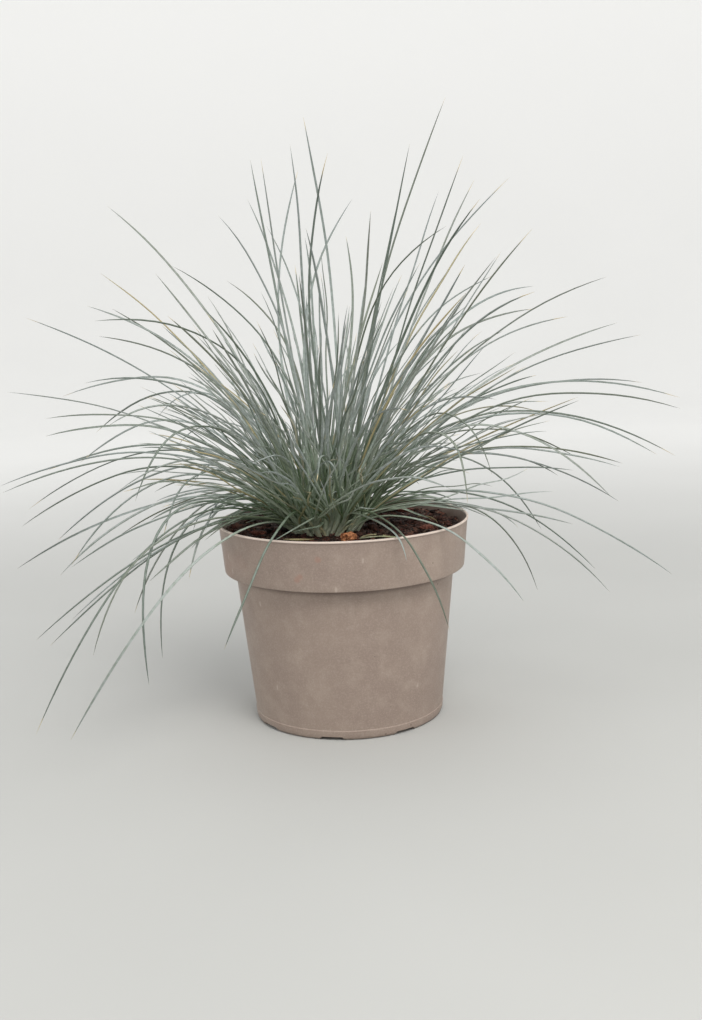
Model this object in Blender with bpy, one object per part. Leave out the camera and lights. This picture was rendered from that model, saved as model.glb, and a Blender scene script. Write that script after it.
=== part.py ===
# Potted blue fescue clump: a plastic pot, its soil, loose bark and the tillers of the grass.
# Metres, +Z up. The origin is the middle of the pot's base, and the photo's viewer is at -Y.

import math
import random

import bmesh
import bpy
import numpy as np
from mathutils import Matrix, Vector

# Pot: a round moulded pot of about three litres, with a deep collar under its rim
RIM_RADIUS = 0.0929
RIM_TOP = 0.1486
LIP_HEIGHT = 0.0018
LIP_OVERHANG = 0.0005
COLLAR_BOTTOM_RADIUS = 0.0891
COLLAR_BOTTOM = 0.1124
BODY_TOP_RADIUS = 0.0815
BASE_RADIUS = 0.0707
BASE_EDGE_ROUND = 0.003
MOULD_LINE_HEIGHT = 0.0068
MOULD_LINE_DEPTH = 0.0004
WALL = 0.0022
FLOOR_TOP = 0.005
POT_SIDES = 48
BASE_FLAT_RADIUS = 0.036
CHANNEL_COUNT = 8
CHANNEL_WIDTH = 0.018
CHANNEL_DEPTH = 0.0025
CHANNEL_INNER_RADIUS = 0.043
FRONT_CHANNEL_ANGLE = math.radians(-100.6)
DRAIN_HOLE_RADIUS = 0.0045
DRAIN_HOLE_AT = 0.052

# Soil: a dark bark compost a little below the rim, level where the grass stands
GAP = 0.0003
SOIL_TOP = 0.1402
SOIL_SIDES = 36
SOIL_RINGS = 8
SOIL_BUMP = 0.0016
LEVEL_RADIUS = 0.036
LEVEL_FADE = 0.016

# Crown of the clump: where its tillers stand
CROWN = Vector((-0.0125, -0.008, 0.0))
CROWN_RADIUS = 0.0235
THICK_WIDTH = 17.0
THICK_HEIGHT = 20.5
THICK_FOOT = 15.0
HIDDEN_WIDTH = 8.5
TILLERS = 50
TURN = math.radians(137.5)
SHEATH_RADIUS = 0.0017
SHEATH_TOP_RADIUS = 0.00155
SHEATH_INNER_LENGTH = 0.024
SHEATH_OUTER_LENGTH = 0.014
GREATEST_LEAN = math.radians(52)
FREE_SHORTEST = 0.14
FREE_SHORTEST_OUTER = 0.11
FREE_LONGEST = 0.24
FREE_DEEPER = 0.07
MOUTH_MARGIN = 0.26

# Blades: thin, folded and three-sided, with the keel below
BLADES_A_TILLER = 4
BLADES_IN_ALL = 192
BLADE_WIDTH = 0.0015
BLADE_KEEL = 0.0009
BLADE_TIP_WIDTH = 0.0008
RING_PLACES = (0.10, 0.32, 0.55, 0.78)
STRETCH_REACH = (0.0014, 0.0012, 0.00092, 0.0009, 0.00088)
SIBLING_GAP = 0.0017
SHEATH_REACH = 0.0020
SHEATH_APART = 0.0042
TRIES = 120
OTHER_TILLERS = 8

# Clearances that a blade keeps from the pot, the soil and the ground
OVER_RIM = 0.0016
OVER_SOIL = 0.0030
LOWEST_BLADE = 0.012

# The photo's eye point, in metres. Leaves are read off in centimetres across and up in the
# upright plane through the pot's axis, and each then lies on the eye's line through that spot.
EYE = Vector((0.0059, -0.8813, 0.309))

# Leaves that stand out in the photo: tip across and up, middle across and up, in centimetres,
# and the tip's distance behind the pot's axis, where minus is towards the viewer. Its middle
# lies at this share of that distance, unless a sixth number gives the middle's own.
MIDDLE_SHARE = 0.45
PHOTO_LEAVES = (
    # upright leaves at the top, left to right
    (-16.0, 37.9, -8.0, 28.0, 4.0),
    (-12.9, 33.1, -6.6, 24.0, -9.0),
    (-11.7, 33.6, -4.2, 26.3, 9.0),
    (-12.2, 30.1, -6.4, 23.2, -12.0),
    (-12.7, 29.4, -7.0, 23.0, 14.0),
    (-9.0, 29.0, -5.3, 21.8, -16.0),
    (-8.2, 37.0, -3.7, 28.0, -8.0),
    (-7.8, 32.4, -3.2, 26.3, 13.0),
    (-6.1, 38.1, -3.0, 28.0, 10.0),
    (-5.7, 40.8, -3.9, 29.0, 4.0),
    (-5.0, 40.9, -3.6, 29.0, -6.0),
    (-4.8, 36.2, -1.8, 27.0, 12.0),
    (-2.85, 41.8, -2.3, 30.0, -3.0),
    (-2.4, 40.0, -4.2, 28.0, 7.0),
    (-2.0, 35.9, -0.6, 27.0, -11.0),
    (-1.85, 43.6, -0.2, 30.0, 2.0),
    (-0.2, 41.1, -1.8, 29.0, -6.0),
    (1.4, 37.9, -2.4, 28.0, 9.0),
    (0.9, 35.3, 0.9, 27.0, 13.0),
    (2.7, 37.0, 1.4, 27.0, -10.0),
    (4.9, 38.3, 2.4, 28.0, 8.0),
    (5.6, 41.5, 2.7, 28.5, -4.0),
    (8.2, 44.6, 2.8, 29.5, 2.0),
    (7.6, 38.2, 4.0, 28.0, 9.0),
    (8.1, 35.8, 2.0, 28.5, -9.0),
    (9.4, 40.6, 4.6, 28.0, -4.0),
    (10.1, 38.9, 5.2, 28.0, 6.0),
    (10.5, 37.6, 5.0, 28.5, -8.0),
    (12.6, 39.0, 3.8, 28.0, 3.0),
    (10.6, 35.9, 5.0, 27.3, 9.0),
    (9.4, 33.0, 5.0, 25.5, -12.0),
    (14.3, 35.4, 6.3, 25.2, -5.0),
    (12.0, 33.9, 6.5, 25.5, 10.0),
    (11.6, 33.5, 5.8, 25.5, -10.0),
    (11.4, 32.2, 4.8, 26.5, 12.0),
    # right side, from high to low
    (14.3, 31.3, 6.5, 27.0, 11.0),
    (14.4, 30.9, 6.8, 25.5, -11.0),
    (14.4, 29.7, 6.2, 26.0, 14.0),
    (19.6, 31.8, 8.7, 25.8, -4.0),
    (16.8, 29.1, 7.6, 25.0, 10.0),
    (20.4, 28.5, 9.3, 23.6, 6.0),
    (22.1, 27.6, 10.0, 23.5, -5.0),
    (14.5, 24.9, 7.5, 22.0, 15.0),
    (25.0, 22.9, 11.5, 23.7, 3.0),
    (22.2, 24.1, 10.3, 23.2, 8.0),
    (25.1, 22.1, 11.6, 22.8, -4.0),
    (17.5, 23.2, 8.0, 19.5, 13.0),
    (17.6, 23.0, 8.2, 18.9, -12.0),
    (24.8, 18.6, 11.5, 22.3, 5.0),
    (23.4, 18.8, 11.0, 21.9, -6.0),
    (20.8, 18.2, 9.9, 19.6, 9.0),
    (20.6, 17.9, 9.6, 19.4, -8.0),
    (17.4, 18.8, 8.6, 21.0, 13.0),
    (20.0, 15.7, 9.6, 21.4, -9.0),
    (17.2, 17.8, 8.2, 17.9, 12.0),
    (20.6, 15.3, 10.0, 19.3, 7.0),
    (24.6, 9.6, 12.3, 16.1, -5.0),
    (14.8, 13.4, 8.5, 19.2, 12.0),
    (17.2, 13.7, 8.8, 15.4, 3.0),
    (19.9, 8.4, 10.8, 15.1, -4.0),
    (18.9, 10.2, 10.3, 15.9, 4.0),
    (14.5, 8.7, 9.9, 15.1, 2.0),
    (13.1, 13.6, 8.4, 15.5, 5.0),
    # leaves that hang over the front of the rim
    (7.8, 5.8, 4.4, 13.3, -10.5, -8.9),
    (4.65, 11.3, 3.3, 13.9, -10.3, -7.6),
    (-9.4, 4.9, -5.2, 13.6, -10.5, -8.6),
    (13.4, 7.9, 7.6, 13.6, -9.0, -6.6),
    (-21.6, -1.9, -11.5, 11.5, -14.0, -8.6),
    (-24.2, -1.4, -13.6, 13.9, -14.0, -7.0),
    (-19.4, 4.8, -13.4, 13.7, -12.0, -7.5),
    (-23.6, 6.1, -12.5, 13.7, -8.0, -5.0),
    (-22.6, 5.7, -11.8, 13.8, -10.0, -6.0),
    (-20.8, 7.7, -11.2, 14.2, -4.0, -2.5),
    (-15.3, 2.3, -13.0, 14.8, -10.0, -6.0),
    (-14.1, 4.4, -11.6, 14.6, -7.0, -4.0),
    (-14.8, 10.4, -8.4, 14.8, -8.0, -4.5),
    # left side, from high to low
    (-22.5, 30.3, -11.0, 23.9, 5.0),
    (-16.9, 33.3, -9.2, 25.5, 7.0),
    (-18.0, 31.0, -8.6, 24.4, -7.0),
    (-16.2, 30.7, -8.0, 23.8, 10.0),
    (-17.5, 29.9, -7.2, 26.6, -9.0),
    (-17.3, 28.8, -8.4, 24.7, 11.0),
    (-18.6, 25.4, -9.2, 23.8, -9.0),
    (-20.2, 24.5, -9.8, 24.7, 8.0),
    (-24.3, 25.0, -12.3, 21.8, -3.0),
    (-21.6, 22.9, -11.0, 21.9, 7.0),
    (-21.7, 21.6, -11.2, 21.3, -7.0),
    (-18.0, 21.8, -9.8, 24.4, 12.0),
    (-17.0, 22.3, -9.0, 22.7, -12.0),
    (-19.3, 19.6, -10.9, 22.3, 9.0),
    (-25.4, 18.0, -13.2, 20.1, 2.0),
    (-25.2, 17.5, -13.0, 19.5, -5.0),
    (-21.8, 19.1, -11.0, 20.3, 9.0),
    (-23.4, 16.2, -12.6, 20.0, 6.0),
    (-24.0, 14.9, -12.8, 19.1, -5.0),
    (-21.4, 13.8, -11.8, 18.8, 7.0),
    (-20.5, 11.9, -12.0, 18.2, -8.0),
    (-24.6, 11.7, -13.2, 16.5, 3.0),
    (-21.4, 11.1, -12.0, 16.9, -7.0),
    (-20.6, 11.7, -11.0, 16.0, 4.0),
    (-16.8, 14.0, -9.2, 17.1, 11.0),
    (-16.0, 12.0, -8.7, 15.8, -8.0),
    (-15.4, 16.6, -9.8, 22.0, -14.0),
    (-16.0, 8.0, -10.3, 16.1, 4.0),
    (-11.8, 10.5, -8.6, 16.2, -7.0),
    # shorter leaves in the thick of the clump
    (-13.5, 13.9, -9.8, 18.7, -6.0),
    (-13.4, 22.7, -8.6, 23.9, 6.0),
    (-12.0, 20.6, -8.2, 21.6, 8.0),
    (-11.0, 17.8, -7.9, 19.4, 5.0),
    (-14.0, 17.2, -9.0, 18.0, 9.0),
    (-14.9, 20.5, -9.2, 19.6, 10.0),
    (-12.5, 19.9, -8.2, 18.0, 4.0),
    (-10.3, 14.1, -7.9, 16.8, -6.0),
    (-11.3, 14.1, -8.2, 16.6, 3.0),
    (11.1, 17.7, 6.9, 22.3, -8.0),
    (9.3, 15.6, 6.4, 21.0, -11.0),
    (5.7, 17.1, 3.0, 18.0, 9.0),
    (10.9, 14.4, 5.6, 16.1, 3.0),
)

# Loose bark on the soil: name, place across, place behind the axis, size and colour
LOOSE_BARK = (
    ("bark_clod", 0.0036, -0.0600, (0.0104, 0.0084, 0.0060), (0.48, 0.20, 0.09)),
    ("bark_chip_1", 0.0460, -0.0600, (0.0130, 0.0060, 0.0030), (0.20, 0.055, 0.035)),
    ("bark_chip_2", 0.0600, -0.0280, (0.0110, 0.0070, 0.0028), (0.10, 0.045, 0.030)),
    ("bark_chip_3", -0.0620, -0.0240, (0.0120, 0.0060, 0.0030), (0.13, 0.070, 0.040)),
    ("bark_chip_4", 0.0480, 0.0420, (0.0140, 0.0080, 0.0032), (0.11, 0.050, 0.032)),
    ("bark_chip_5", -0.0520, 0.0450, (0.0120, 0.0070, 0.0030), (0.12, 0.060, 0.040)),
)

POT_COLOUR = (0.33, 0.25, 0.21)
SOIL_COLOUR = (0.035, 0.022, 0.018)
LEAF_COLOUR = (0.14, 0.19, 0.14)
SEED = 2719


def clear_scene():
    for old in list(bpy.data.objects):
        bpy.data.objects.remove(old, do_unlink=True)


def plain_material(name, colour, roughness):
    material = bpy.data.materials.new(name)
    material.use_nodes = True
    shader = material.node_tree.nodes["Principled BSDF"]
    shader.inputs["Base Color"].default_value = (*colour, 1.0)
    shader.inputs["Roughness"].default_value = roughness
    return material


def solid_object(name, vertices, faces, colour, roughness, smooth=False):
    mesh = bpy.data.meshes.new(name)
    mesh.from_pydata([tuple(v) for v in vertices], [], faces)
    shaped = bmesh.new()
    shaped.from_mesh(mesh)
    bmesh.ops.recalc_face_normals(shaped, faces=shaped.faces)
    shaped.to_mesh(mesh)
    shaped.free()
    for polygon in mesh.polygons:
        polygon.use_smooth = smooth
    mesh.materials.append(plain_material(name, colour, roughness))
    solid = bpy.data.objects.new(name, mesh)
    bpy.context.scene.collection.objects.link(solid)
    return solid


def turned(profile, sides):
    # A closed turned solid: the profile runs from the middle of its base round to the middle of its top
    vertices = []
    faces = []
    for radius, height in profile:
        for side in range(sides):
            angle = 2 * math.pi * side / sides
            vertices.append((radius * math.cos(angle), radius * math.sin(angle), height))
    for ring in range(len(profile) - 1):
        for side in range(sides):
            following = (side + 1) % sides
            low = ring * sides
            high = low + sides
            faces.append((low + side, low + following, high + following, high + side))
    faces.append(tuple(reversed(range(sides))))
    last = (len(profile) - 1) * sides
    faces.append(tuple(range(last, last + sides)))
    return vertices, faces


# Pot


def outer_radius(height):
    if height < COLLAR_BOTTOM:
        share = height / COLLAR_BOTTOM
        return BASE_RADIUS + (BODY_TOP_RADIUS - BASE_RADIUS) * share
    share = (height - COLLAR_BOTTOM) / (RIM_TOP - COLLAR_BOTTOM)
    return COLLAR_BOTTOM_RADIUS + (RIM_RADIUS - LIP_OVERHANG - COLLAR_BOTTOM_RADIUS) * share


def pot_profile():
    lip_bottom = RIM_TOP - LIP_HEIGHT
    lip_middle = RIM_TOP - LIP_HEIGHT / 2
    inner_lip = outer_radius(lip_bottom) - WALL
    line_radius = outer_radius(MOULD_LINE_HEIGHT)
    return [
        (BASE_FLAT_RADIUS, 0.0),
        (BASE_RADIUS - BASE_EDGE_ROUND, 0.0),
        (BASE_RADIUS - BASE_EDGE_ROUND * 0.3, BASE_EDGE_ROUND * 0.3),
        (outer_radius(BASE_EDGE_ROUND), BASE_EDGE_ROUND),
        (line_radius, MOULD_LINE_HEIGHT),
        (line_radius - MOULD_LINE_DEPTH, MOULD_LINE_HEIGHT + MOULD_LINE_DEPTH),
        (BODY_TOP_RADIUS, COLLAR_BOTTOM),
        (COLLAR_BOTTOM_RADIUS, COLLAR_BOTTOM),
        (outer_radius(lip_bottom), lip_bottom),
        (RIM_RADIUS, lip_middle),
        (RIM_RADIUS - 0.0006, RIM_TOP - 0.0004),
        (RIM_RADIUS - 0.0017, RIM_TOP),
        (inner_lip + 0.0002, RIM_TOP - 0.0006),
        (inner_lip, lip_bottom),
        (COLLAR_BOTTOM_RADIUS - WALL, COLLAR_BOTTOM + WALL),
        (BODY_TOP_RADIUS - WALL, COLLAR_BOTTOM + WALL),
        (outer_radius(FLOOR_TOP) - WALL, FLOOR_TOP),
    ]


def inside_radius(height):
    if height < COLLAR_BOTTOM + WALL:
        share = (height - FLOOR_TOP) / (COLLAR_BOTTOM + WALL - FLOOR_TOP)
        low = outer_radius(FLOOR_TOP) - WALL
        return low + (BODY_TOP_RADIUS - WALL - low) * share
    lip_bottom = RIM_TOP - LIP_HEIGHT
    share = (height - COLLAR_BOTTOM - WALL) / (lip_bottom - COLLAR_BOTTOM - WALL)
    low = COLLAR_BOTTOM_RADIUS - WALL
    return low + (outer_radius(lip_bottom) - WALL - low) * share


def channel_angles():
    return [FRONT_CHANNEL_ANGLE + 2 * math.pi * i / CHANNEL_COUNT for i in range(CHANNEL_COUNT)]


def cutter(name, shaped):
    mesh = bpy.data.meshes.new(name)
    shaped.to_mesh(mesh)
    shaped.free()
    tool = bpy.data.objects.new(name, mesh)
    tool.hide_render = True
    tool.display_type = "WIRE"
    bpy.context.scene.collection.objects.link(tool)
    return tool


def channel_cutter():
    shaped = bmesh.new()
    length = BASE_RADIUS + 0.01 - CHANNEL_INNER_RADIUS
    middle = CHANNEL_INNER_RADIUS + length / 2
    height = 2 * CHANNEL_DEPTH
    for angle in channel_angles():
        place = Matrix.Rotation(angle, 4, "Z") @ Matrix.Translation((middle, 0, 0))
        size = Matrix.Diagonal((length, CHANNEL_WIDTH, height, 1))
        bmesh.ops.create_cube(shaped, size=1.0, matrix=place @ size)
    return cutter("channel_cutter", shaped)


def drain_cutter():
    shaped = bmesh.new()
    for angle in channel_angles():
        place = Matrix.Rotation(angle, 4, "Z") @ Matrix.Translation((DRAIN_HOLE_AT, 0, FLOOR_TOP / 2))
        bmesh.ops.create_cone(shaped, cap_ends=True, segments=10, radius1=DRAIN_HOLE_RADIUS,
                              radius2=DRAIN_HOLE_RADIUS, depth=3 * FLOOR_TOP, matrix=place)
    return cutter("drain_cutter", shaped)


def make_pot():
    vertices, faces = turned(pot_profile(), POT_SIDES)
    pot = solid_object("pot", vertices, faces, POT_COLOUR, 0.55, smooth=True)
    for tool in (channel_cutter(), drain_cutter()):
        cut = pot.modifiers.new(tool.name, "BOOLEAN")
        cut.operation = "DIFFERENCE"
        cut.solver = "EXACT"
        cut.object = tool


# Soil and bark


def soil_height(x, y):
    away = math.hypot(x - CROWN.x, y - CROWN.y)
    fade = min(1.0, max(0.0, (away - LEVEL_RADIUS) / LEVEL_FADE))
    lump = math.sin(173 * x + 1.3) * math.cos(147 * y - 0.4)
    lump += 0.6 * math.sin(311 * x - 207 * y) + 0.5 * math.cos(391 * y + 119 * x)
    return SOIL_TOP + SOIL_BUMP * fade * lump


def make_soil():
    step = COLLAR_BOTTOM + WALL
    bottom = FLOOR_TOP + GAP
    shoulder = step + GAP
    profile = [
        (inside_radius(bottom) - GAP, bottom),
        (BODY_TOP_RADIUS - WALL - GAP, step),
        (BODY_TOP_RADIUS - WALL - GAP, shoulder),
        (COLLAR_BOTTOM_RADIUS - WALL - GAP, shoulder),
    ]
    edge = inside_radius(SOIL_TOP - 2 * SOIL_BUMP) - GAP
    vertices, faces = turned(profile, SOIL_SIDES)
    faces = faces[:-1]
    below = len(vertices) - SOIL_SIDES
    for ring in range(SOIL_RINGS, 0, -1):
        for side in range(SOIL_SIDES):
            angle = 2 * math.pi * side / SOIL_SIDES
            radius = edge * ring / SOIL_RINGS
            x = radius * math.cos(angle)
            y = radius * math.sin(angle)
            vertices.append((x, y, soil_height(x, y)))
            following = (side + 1) % SOIL_SIDES
            above = below + SOIL_SIDES
            faces.append((below + side, below + following, above + following, above + side))
        below += SOIL_SIDES
    top = len(vertices)
    vertices.append((0.0, 0.0, soil_height(0.0, 0.0)))
    for side in range(SOIL_SIDES):
        faces.append((below + side, below + (side + 1) % SOIL_SIDES, top))
    solid_object("soil", vertices, faces, SOIL_COLOUR, 0.95)


def make_bark():
    for number, (name, x, y, size, colour) in enumerate(LOOSE_BARK):
        lot = random.Random(SEED + 50 + number)
        shaped = bmesh.new()
        bmesh.ops.create_icosphere(shaped, subdivisions=2 if name == "bark_clod" else 1, radius=0.5)
        turn = Matrix.Rotation(lot.uniform(0, math.pi), 4, "Z")
        for vertex in shaped.verts:
            swell = 1.0 + lot.uniform(-0.14, 0.14)
            spot = vertex.co * swell
            vertex.co = turn @ Vector((spot.x * size[0], spot.y * size[1], spot.z * size[2]))
        lowest = min(vertex.co.z for vertex in shaped.verts)
        reach = max(math.hypot(vertex.co.x, vertex.co.y) for vertex in shaped.verts)
        ground = highest_soil(x, y, reach)
        for vertex in shaped.verts:
            vertex.co += Vector((x, y, ground + GAP - lowest))
        vertices = [vertex.co.copy() for vertex in shaped.verts]
        faces = [tuple(vertex.index for vertex in face.verts) for face in shaped.faces]
        shaped.free()
        solid_object(name, vertices, faces, colour, 0.9)


def highest_soil(x, y, reach):
    heights = []
    for step in range(24):
        angle = 2 * math.pi * step / 24
        for share in (0.0, 0.5, 1.0, 1.4):
            spot = Vector((x, y, 0)) + way(angle) * share * reach
            heights.append(soil_height(spot.x, spot.y))
    return max(heights)


# Tillers


def on_sight_line(across, up, behind):
    seen = Vector((across / 100, 0.0, up / 100))
    return EYE + (seen - EYE) * (1.0 + behind / 100 / -EYE.y)


def tiller_feet():
    feet = []
    for i in range(TILLERS):
        radius = CROWN_RADIUS * math.sqrt((i + 0.5) / TILLERS)
        spot = Vector((radius * math.cos(i * TURN), radius * math.sin(i * TURN), SOIL_TOP + GAP))
        feet.append(CROWN + spot)
    return feet


def curve_through(start, middle, tip, share):
    bend = 2 * middle - (start + tip) / 2
    return (1 - share) ** 2 * start + 2 * share * (1 - share) * bend + share ** 2 * tip


def way(angle):
    return Vector((math.cos(angle), math.sin(angle), 0.0))


def away_from(angle, other):
    return abs((angle - other + math.pi) % (2 * math.pi) - math.pi)


def share_out_photo_leaves(feet):
    # Each leaf of the photo goes to the tiller that stands best for its reach and direction
    plans = [[] for _ in feet]
    for row in PHOTO_LEAVES:
        tip = on_sight_line(row[0], row[1], row[4])
        reach = Vector((tip.x - CROWN.x, tip.y - CROWN.y, 0.0))
        heading = math.atan2(reach.y, reach.x)
        droop = min(1.0, reach.length / 0.19) * min(1.0, max(0.25, (0.46 - tip.z) / 0.2))
        wanted = CROWN + way(heading) * CROWN_RADIUS * droop
        near = [math.hypot(foot.x - wanted.x, foot.y - wanted.y) for foot in feet]
        costs = []
        for i in range(len(feet)):
            cost = near[i] + 0.004 * len(plans[i]) ** 2
            cost += sum(0.012 * away_from(heading, other["heading"]) for other in plans[i])
            if len(plans[i]) < BLADES_A_TILLER:
                costs.append((cost, i))
        nearest = sorted(range(len(feet)), key=lambda i: near[i])
        plans[min(costs)[1]].append({"heading": heading, "row": row, "nearest": nearest})
    return plans


def free_leaf(foot, lot, spread):
    # A leaf that the photo doesn't single out: upright in the middle, arching out at the edge
    out = foot - CROWN
    share = math.hypot(out.x, out.y) / CROWN_RADIUS
    heading = math.atan2(out.y, out.x) + lot.gauss(0.0, 0.45) * spread
    lean = math.radians(6 + 42 * share ** 1.2 + lot.gauss(0.0, 6) * spread)
    longest = FREE_LONGEST + FREE_DEEPER * abs(math.sin(heading))
    length = lot.uniform(FREE_SHORTEST_OUTER if share > 0.5 else FREE_SHORTEST, longest)
    droop = math.radians(lot.uniform(8, 34) + 50 * share ** 2 * lot.random())
    sway = way(heading + lot.gauss(0.0, 0.12))
    lean = max(math.radians(2), lean)
    first = way(heading) * math.sin(lean) + Vector((0, 0, math.cos(lean)))
    last = sway * math.sin(lean + droop) + Vector((0, 0, math.cos(lean + droop)))
    start = foot + first * 0.018
    bend = start + first * length * 0.5
    tip = bend + last * length * 0.5
    return (start + 2 * bend + tip) / 4, tip


def photo_leaf(row, lot, loose):
    # A leaf of the photo on its sight lines. Looser tries move it along them, and a little across.
    behind = row[4] + lot.uniform(-3.0, 3.0) * loose
    if len(row) > 5:
        mid_behind = row[5] + lot.uniform(-0.7, 0.7) * loose
    else:
        mid_behind = MIDDLE_SHARE * behind + lot.uniform(-2.2, 2.2) * loose
    mid_across = row[2] + lot.uniform(-0.3, 0.3) * loose
    mid_up = row[3] + lot.uniform(-0.2, 0.5) * loose
    return on_sight_line(mid_across, mid_up, mid_behind), on_sight_line(row[0], row[1], behind)


def within_thick(tip):
    # Whether a leaf's tip, seen from the photo's eye point, ends in the thick of the clump or
    # hangs out of sight behind the pot. Every leaf that ends further out is read off the photo.
    seen = EYE + (tip - EYE) * (-EYE.y / (tip.y - EYE.y))
    up = 100 * seen.z - THICK_FOOT
    if up < 0:
        return tip.y > RIM_RADIUS and abs(100 * seen.x) < HIDDEN_WIDTH
    return (100 * seen.x / THICK_WIDTH) ** 2 + (up / THICK_HEIGHT) ** 2 < 1


def clears_pot(mouth, middle, tip):
    share = np.linspace(0.02, 1.0, 50)[:, None]
    start, half, end = (np.array(tuple(spot)) for spot in (mouth, middle, tip))
    bend = 2 * half - (start + end) / 2
    spots = (1 - share) ** 2 * start + 2 * share * (1 - share) * bend + share ** 2 * end
    radius = np.hypot(spots[:, 0], spots[:, 1])
    least = np.full(len(spots), LOWEST_BLADE)
    least[radius < RIM_RADIUS + OVER_RIM] = RIM_TOP + OVER_RIM
    least[radius < inside_radius(SOIL_TOP) - 0.001] = SOIL_TOP + OVER_SOIL
    return bool((spots[:, 2] >= least).all())


def clears_bark(points):
    starts, ends = stretches(points)
    for _, x, y, size, _ in LOOSE_BARK:
        centre = np.array([[x, y, SOIL_TOP + size[2] / 2]])
        nearest = least_distance(starts, ends, centre, centre + 1e-6).min()
        if nearest < 0.62 * max(size) + 0.002:
            return False
    return True


def least_distance(first_starts, first_ends, second_starts, second_ends):
    # The least distance between two sets of straight stretches
    p = first_starts[:, None, :]
    q = second_starts[None, :, :]
    d1 = (first_ends - first_starts)[:, None, :]
    d2 = (second_ends - second_starts)[None, :, :]
    r = p - q
    a = (d1 * d1).sum(-1)
    e = (d2 * d2).sum(-1)
    f = (d2 * r).sum(-1)
    c = (d1 * r).sum(-1)
    b = (d1 * d2).sum(-1)
    denominator = np.maximum(a * e - b * b, 1e-14)
    s = np.clip((b * f - c * e) / denominator, 0, 1)
    t = np.clip((b * s + f) / e, 0, 1)
    s = np.clip((b * t - c) / a, 0, 1)
    nearest = (p + d1 * s[..., None]) - (q + d2 * t[..., None])
    return np.sqrt((nearest * nearest).sum(-1))


def stretches(points):
    spots = np.array([tuple(point) for point in points])
    return spots[:-1], spots[1:]


def has_room(points, tiller, sheaths, taken):
    # Whether a blade keeps clear of the other sheaths and of every blade placed so far
    starts, ends = stretches(points)
    reach = np.array(STRETCH_REACH)
    feet = np.array([tuple(foot) for i, (foot, mouth) in enumerate(sheaths) if i != tiller])
    mouths = np.array([tuple(mouth) for i, (foot, mouth) in enumerate(sheaths) if i != tiller])
    apart = least_distance(starts, ends, feet, mouths)
    if (apart < reach[:, None] + SHEATH_REACH).any():
        return False
    others = [spots for owner, spots in taken if owner != tiller]
    if others:
        other_starts = np.concatenate([spots[:-1] for spots in others])
        other_ends = np.concatenate([spots[1:] for spots in others])
        apart = least_distance(starts, ends, other_starts, other_ends)
        if (apart < reach[:, None] + np.tile(reach, len(others))[None, :]).any():
            return False
    for spots in [spots for owner, spots in taken if owner == tiller]:
        apart = least_distance(starts, ends, spots[:-1], spots[1:])
        if apart[1:, 1:].min() < SIBLING_GAP or np.linalg.norm(starts[1] - spots[1]) < SIBLING_GAP:
            return False
    return True


def grow_tillers():
    # The paths of all tillers: each has a foot, a sheath mouth and its blades
    lot = random.Random(SEED)
    feet = tiller_feet()
    plans = share_out_photo_leaves(feet)
    sheaths = []
    for i, foot in enumerate(feet):
        sheaths.append((foot, sheath_mouth(foot, plans[i], sheaths)))
    blades = [[] for _ in feet]
    taken = []
    left_over = []
    for i, rows in enumerate(plans):
        for plan in rows:
            if not add_blade(plan["row"], i, sheaths, blades, taken, lot):
                left_over.append(plan)
    for plan in left_over:
        free = [i for i in plan["nearest"] if len(blades[i]) < BLADES_A_TILLER][:OTHER_TILLERS]
        any(add_blade(plan["row"], i, sheaths, blades, taken, lot) for i in free)
    for wanted in range(1, BLADES_A_TILLER + 1):
        for i in range(TILLERS):
            if len(blades[i]) < wanted and len(taken) < BLADES_IN_ALL:
                add_blade(None, i, sheaths, blades, taken, lot)
    return sheaths, blades


def sheath_mouth(foot, plans, placed):
    out = foot - CROWN
    share = math.hypot(out.x, out.y) / CROWN_RADIUS
    length = SHEATH_INNER_LENGTH + (SHEATH_OUTER_LENGTH - SHEATH_INNER_LENGTH) * share
    lean = math.radians(4 + 34 * share)
    plain = way(math.atan2(out.y, out.x)) * math.sin(lean) + Vector((0, 0, math.cos(lean)))
    wish = plain.copy()
    for plan in plans:
        row = plan["row"]
        middle = on_sight_line(row[2], row[3], MIDDLE_SHARE * row[4])
        tip = on_sight_line(row[0], row[1], row[4])
        start = foot + plain * length
        first = curve_through(start, middle, tip, 0.1) - start
        wish += 0.5 * first.normalized()
    wish.normalize()
    for step in range(6):
        axis = wish.lerp(plain, step / 5).normalized()
        lean = min(GREATEST_LEAN, axis.angle(Vector((0, 0, 1))))
        axis = way(math.atan2(axis.y, axis.x)) * math.sin(lean) + Vector((0, 0, math.cos(lean)))
        mouth = foot + axis * length
        starts, ends = stretches((foot, mouth))
        if all(least_distance(starts, ends, *stretches(other)).min() > SHEATH_APART for other in placed):
            return mouth
    return mouth


def blade_points(mouth, blade):
    middle, tip = blade
    return [mouth] + [curve_through(mouth, middle, tip, share) for share in RING_PLACES] + [tip]


def add_blade(row, tiller, sheaths, blades, taken, lot):
    foot, mouth = sheaths[tiller]
    for attempt in range(TRIES):
        if row:
            middle, tip = photo_leaf(row, lot, min(1.0, attempt / 60))
        else:
            middle, tip = free_leaf(foot, lot, 1 + attempt / 80)
            if not within_thick(tip):
                continue
        points = blade_points(mouth, (middle, tip))
        if not clears_pot(mouth, middle, tip) or not clears_bark(points):
            continue
        if has_room(points, tiller, sheaths, taken):
            blades[tiller].append((middle, tip))
            taken.append((tiller, np.array([tuple(point) for point in points])))
            return True
    return False


def cross_section(point, along, side, width):
    # Three corners of a folded blade: its two edges, and the keel below
    across = (side - along * side.dot(along)).normalized()
    upper = along.cross(across)
    keel = BLADE_KEEL * width / BLADE_WIDTH
    centre = point + upper * keel / 3
    return [centre + across * width / 2, centre - across * width / 2, centre - upper * keel]


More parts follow.
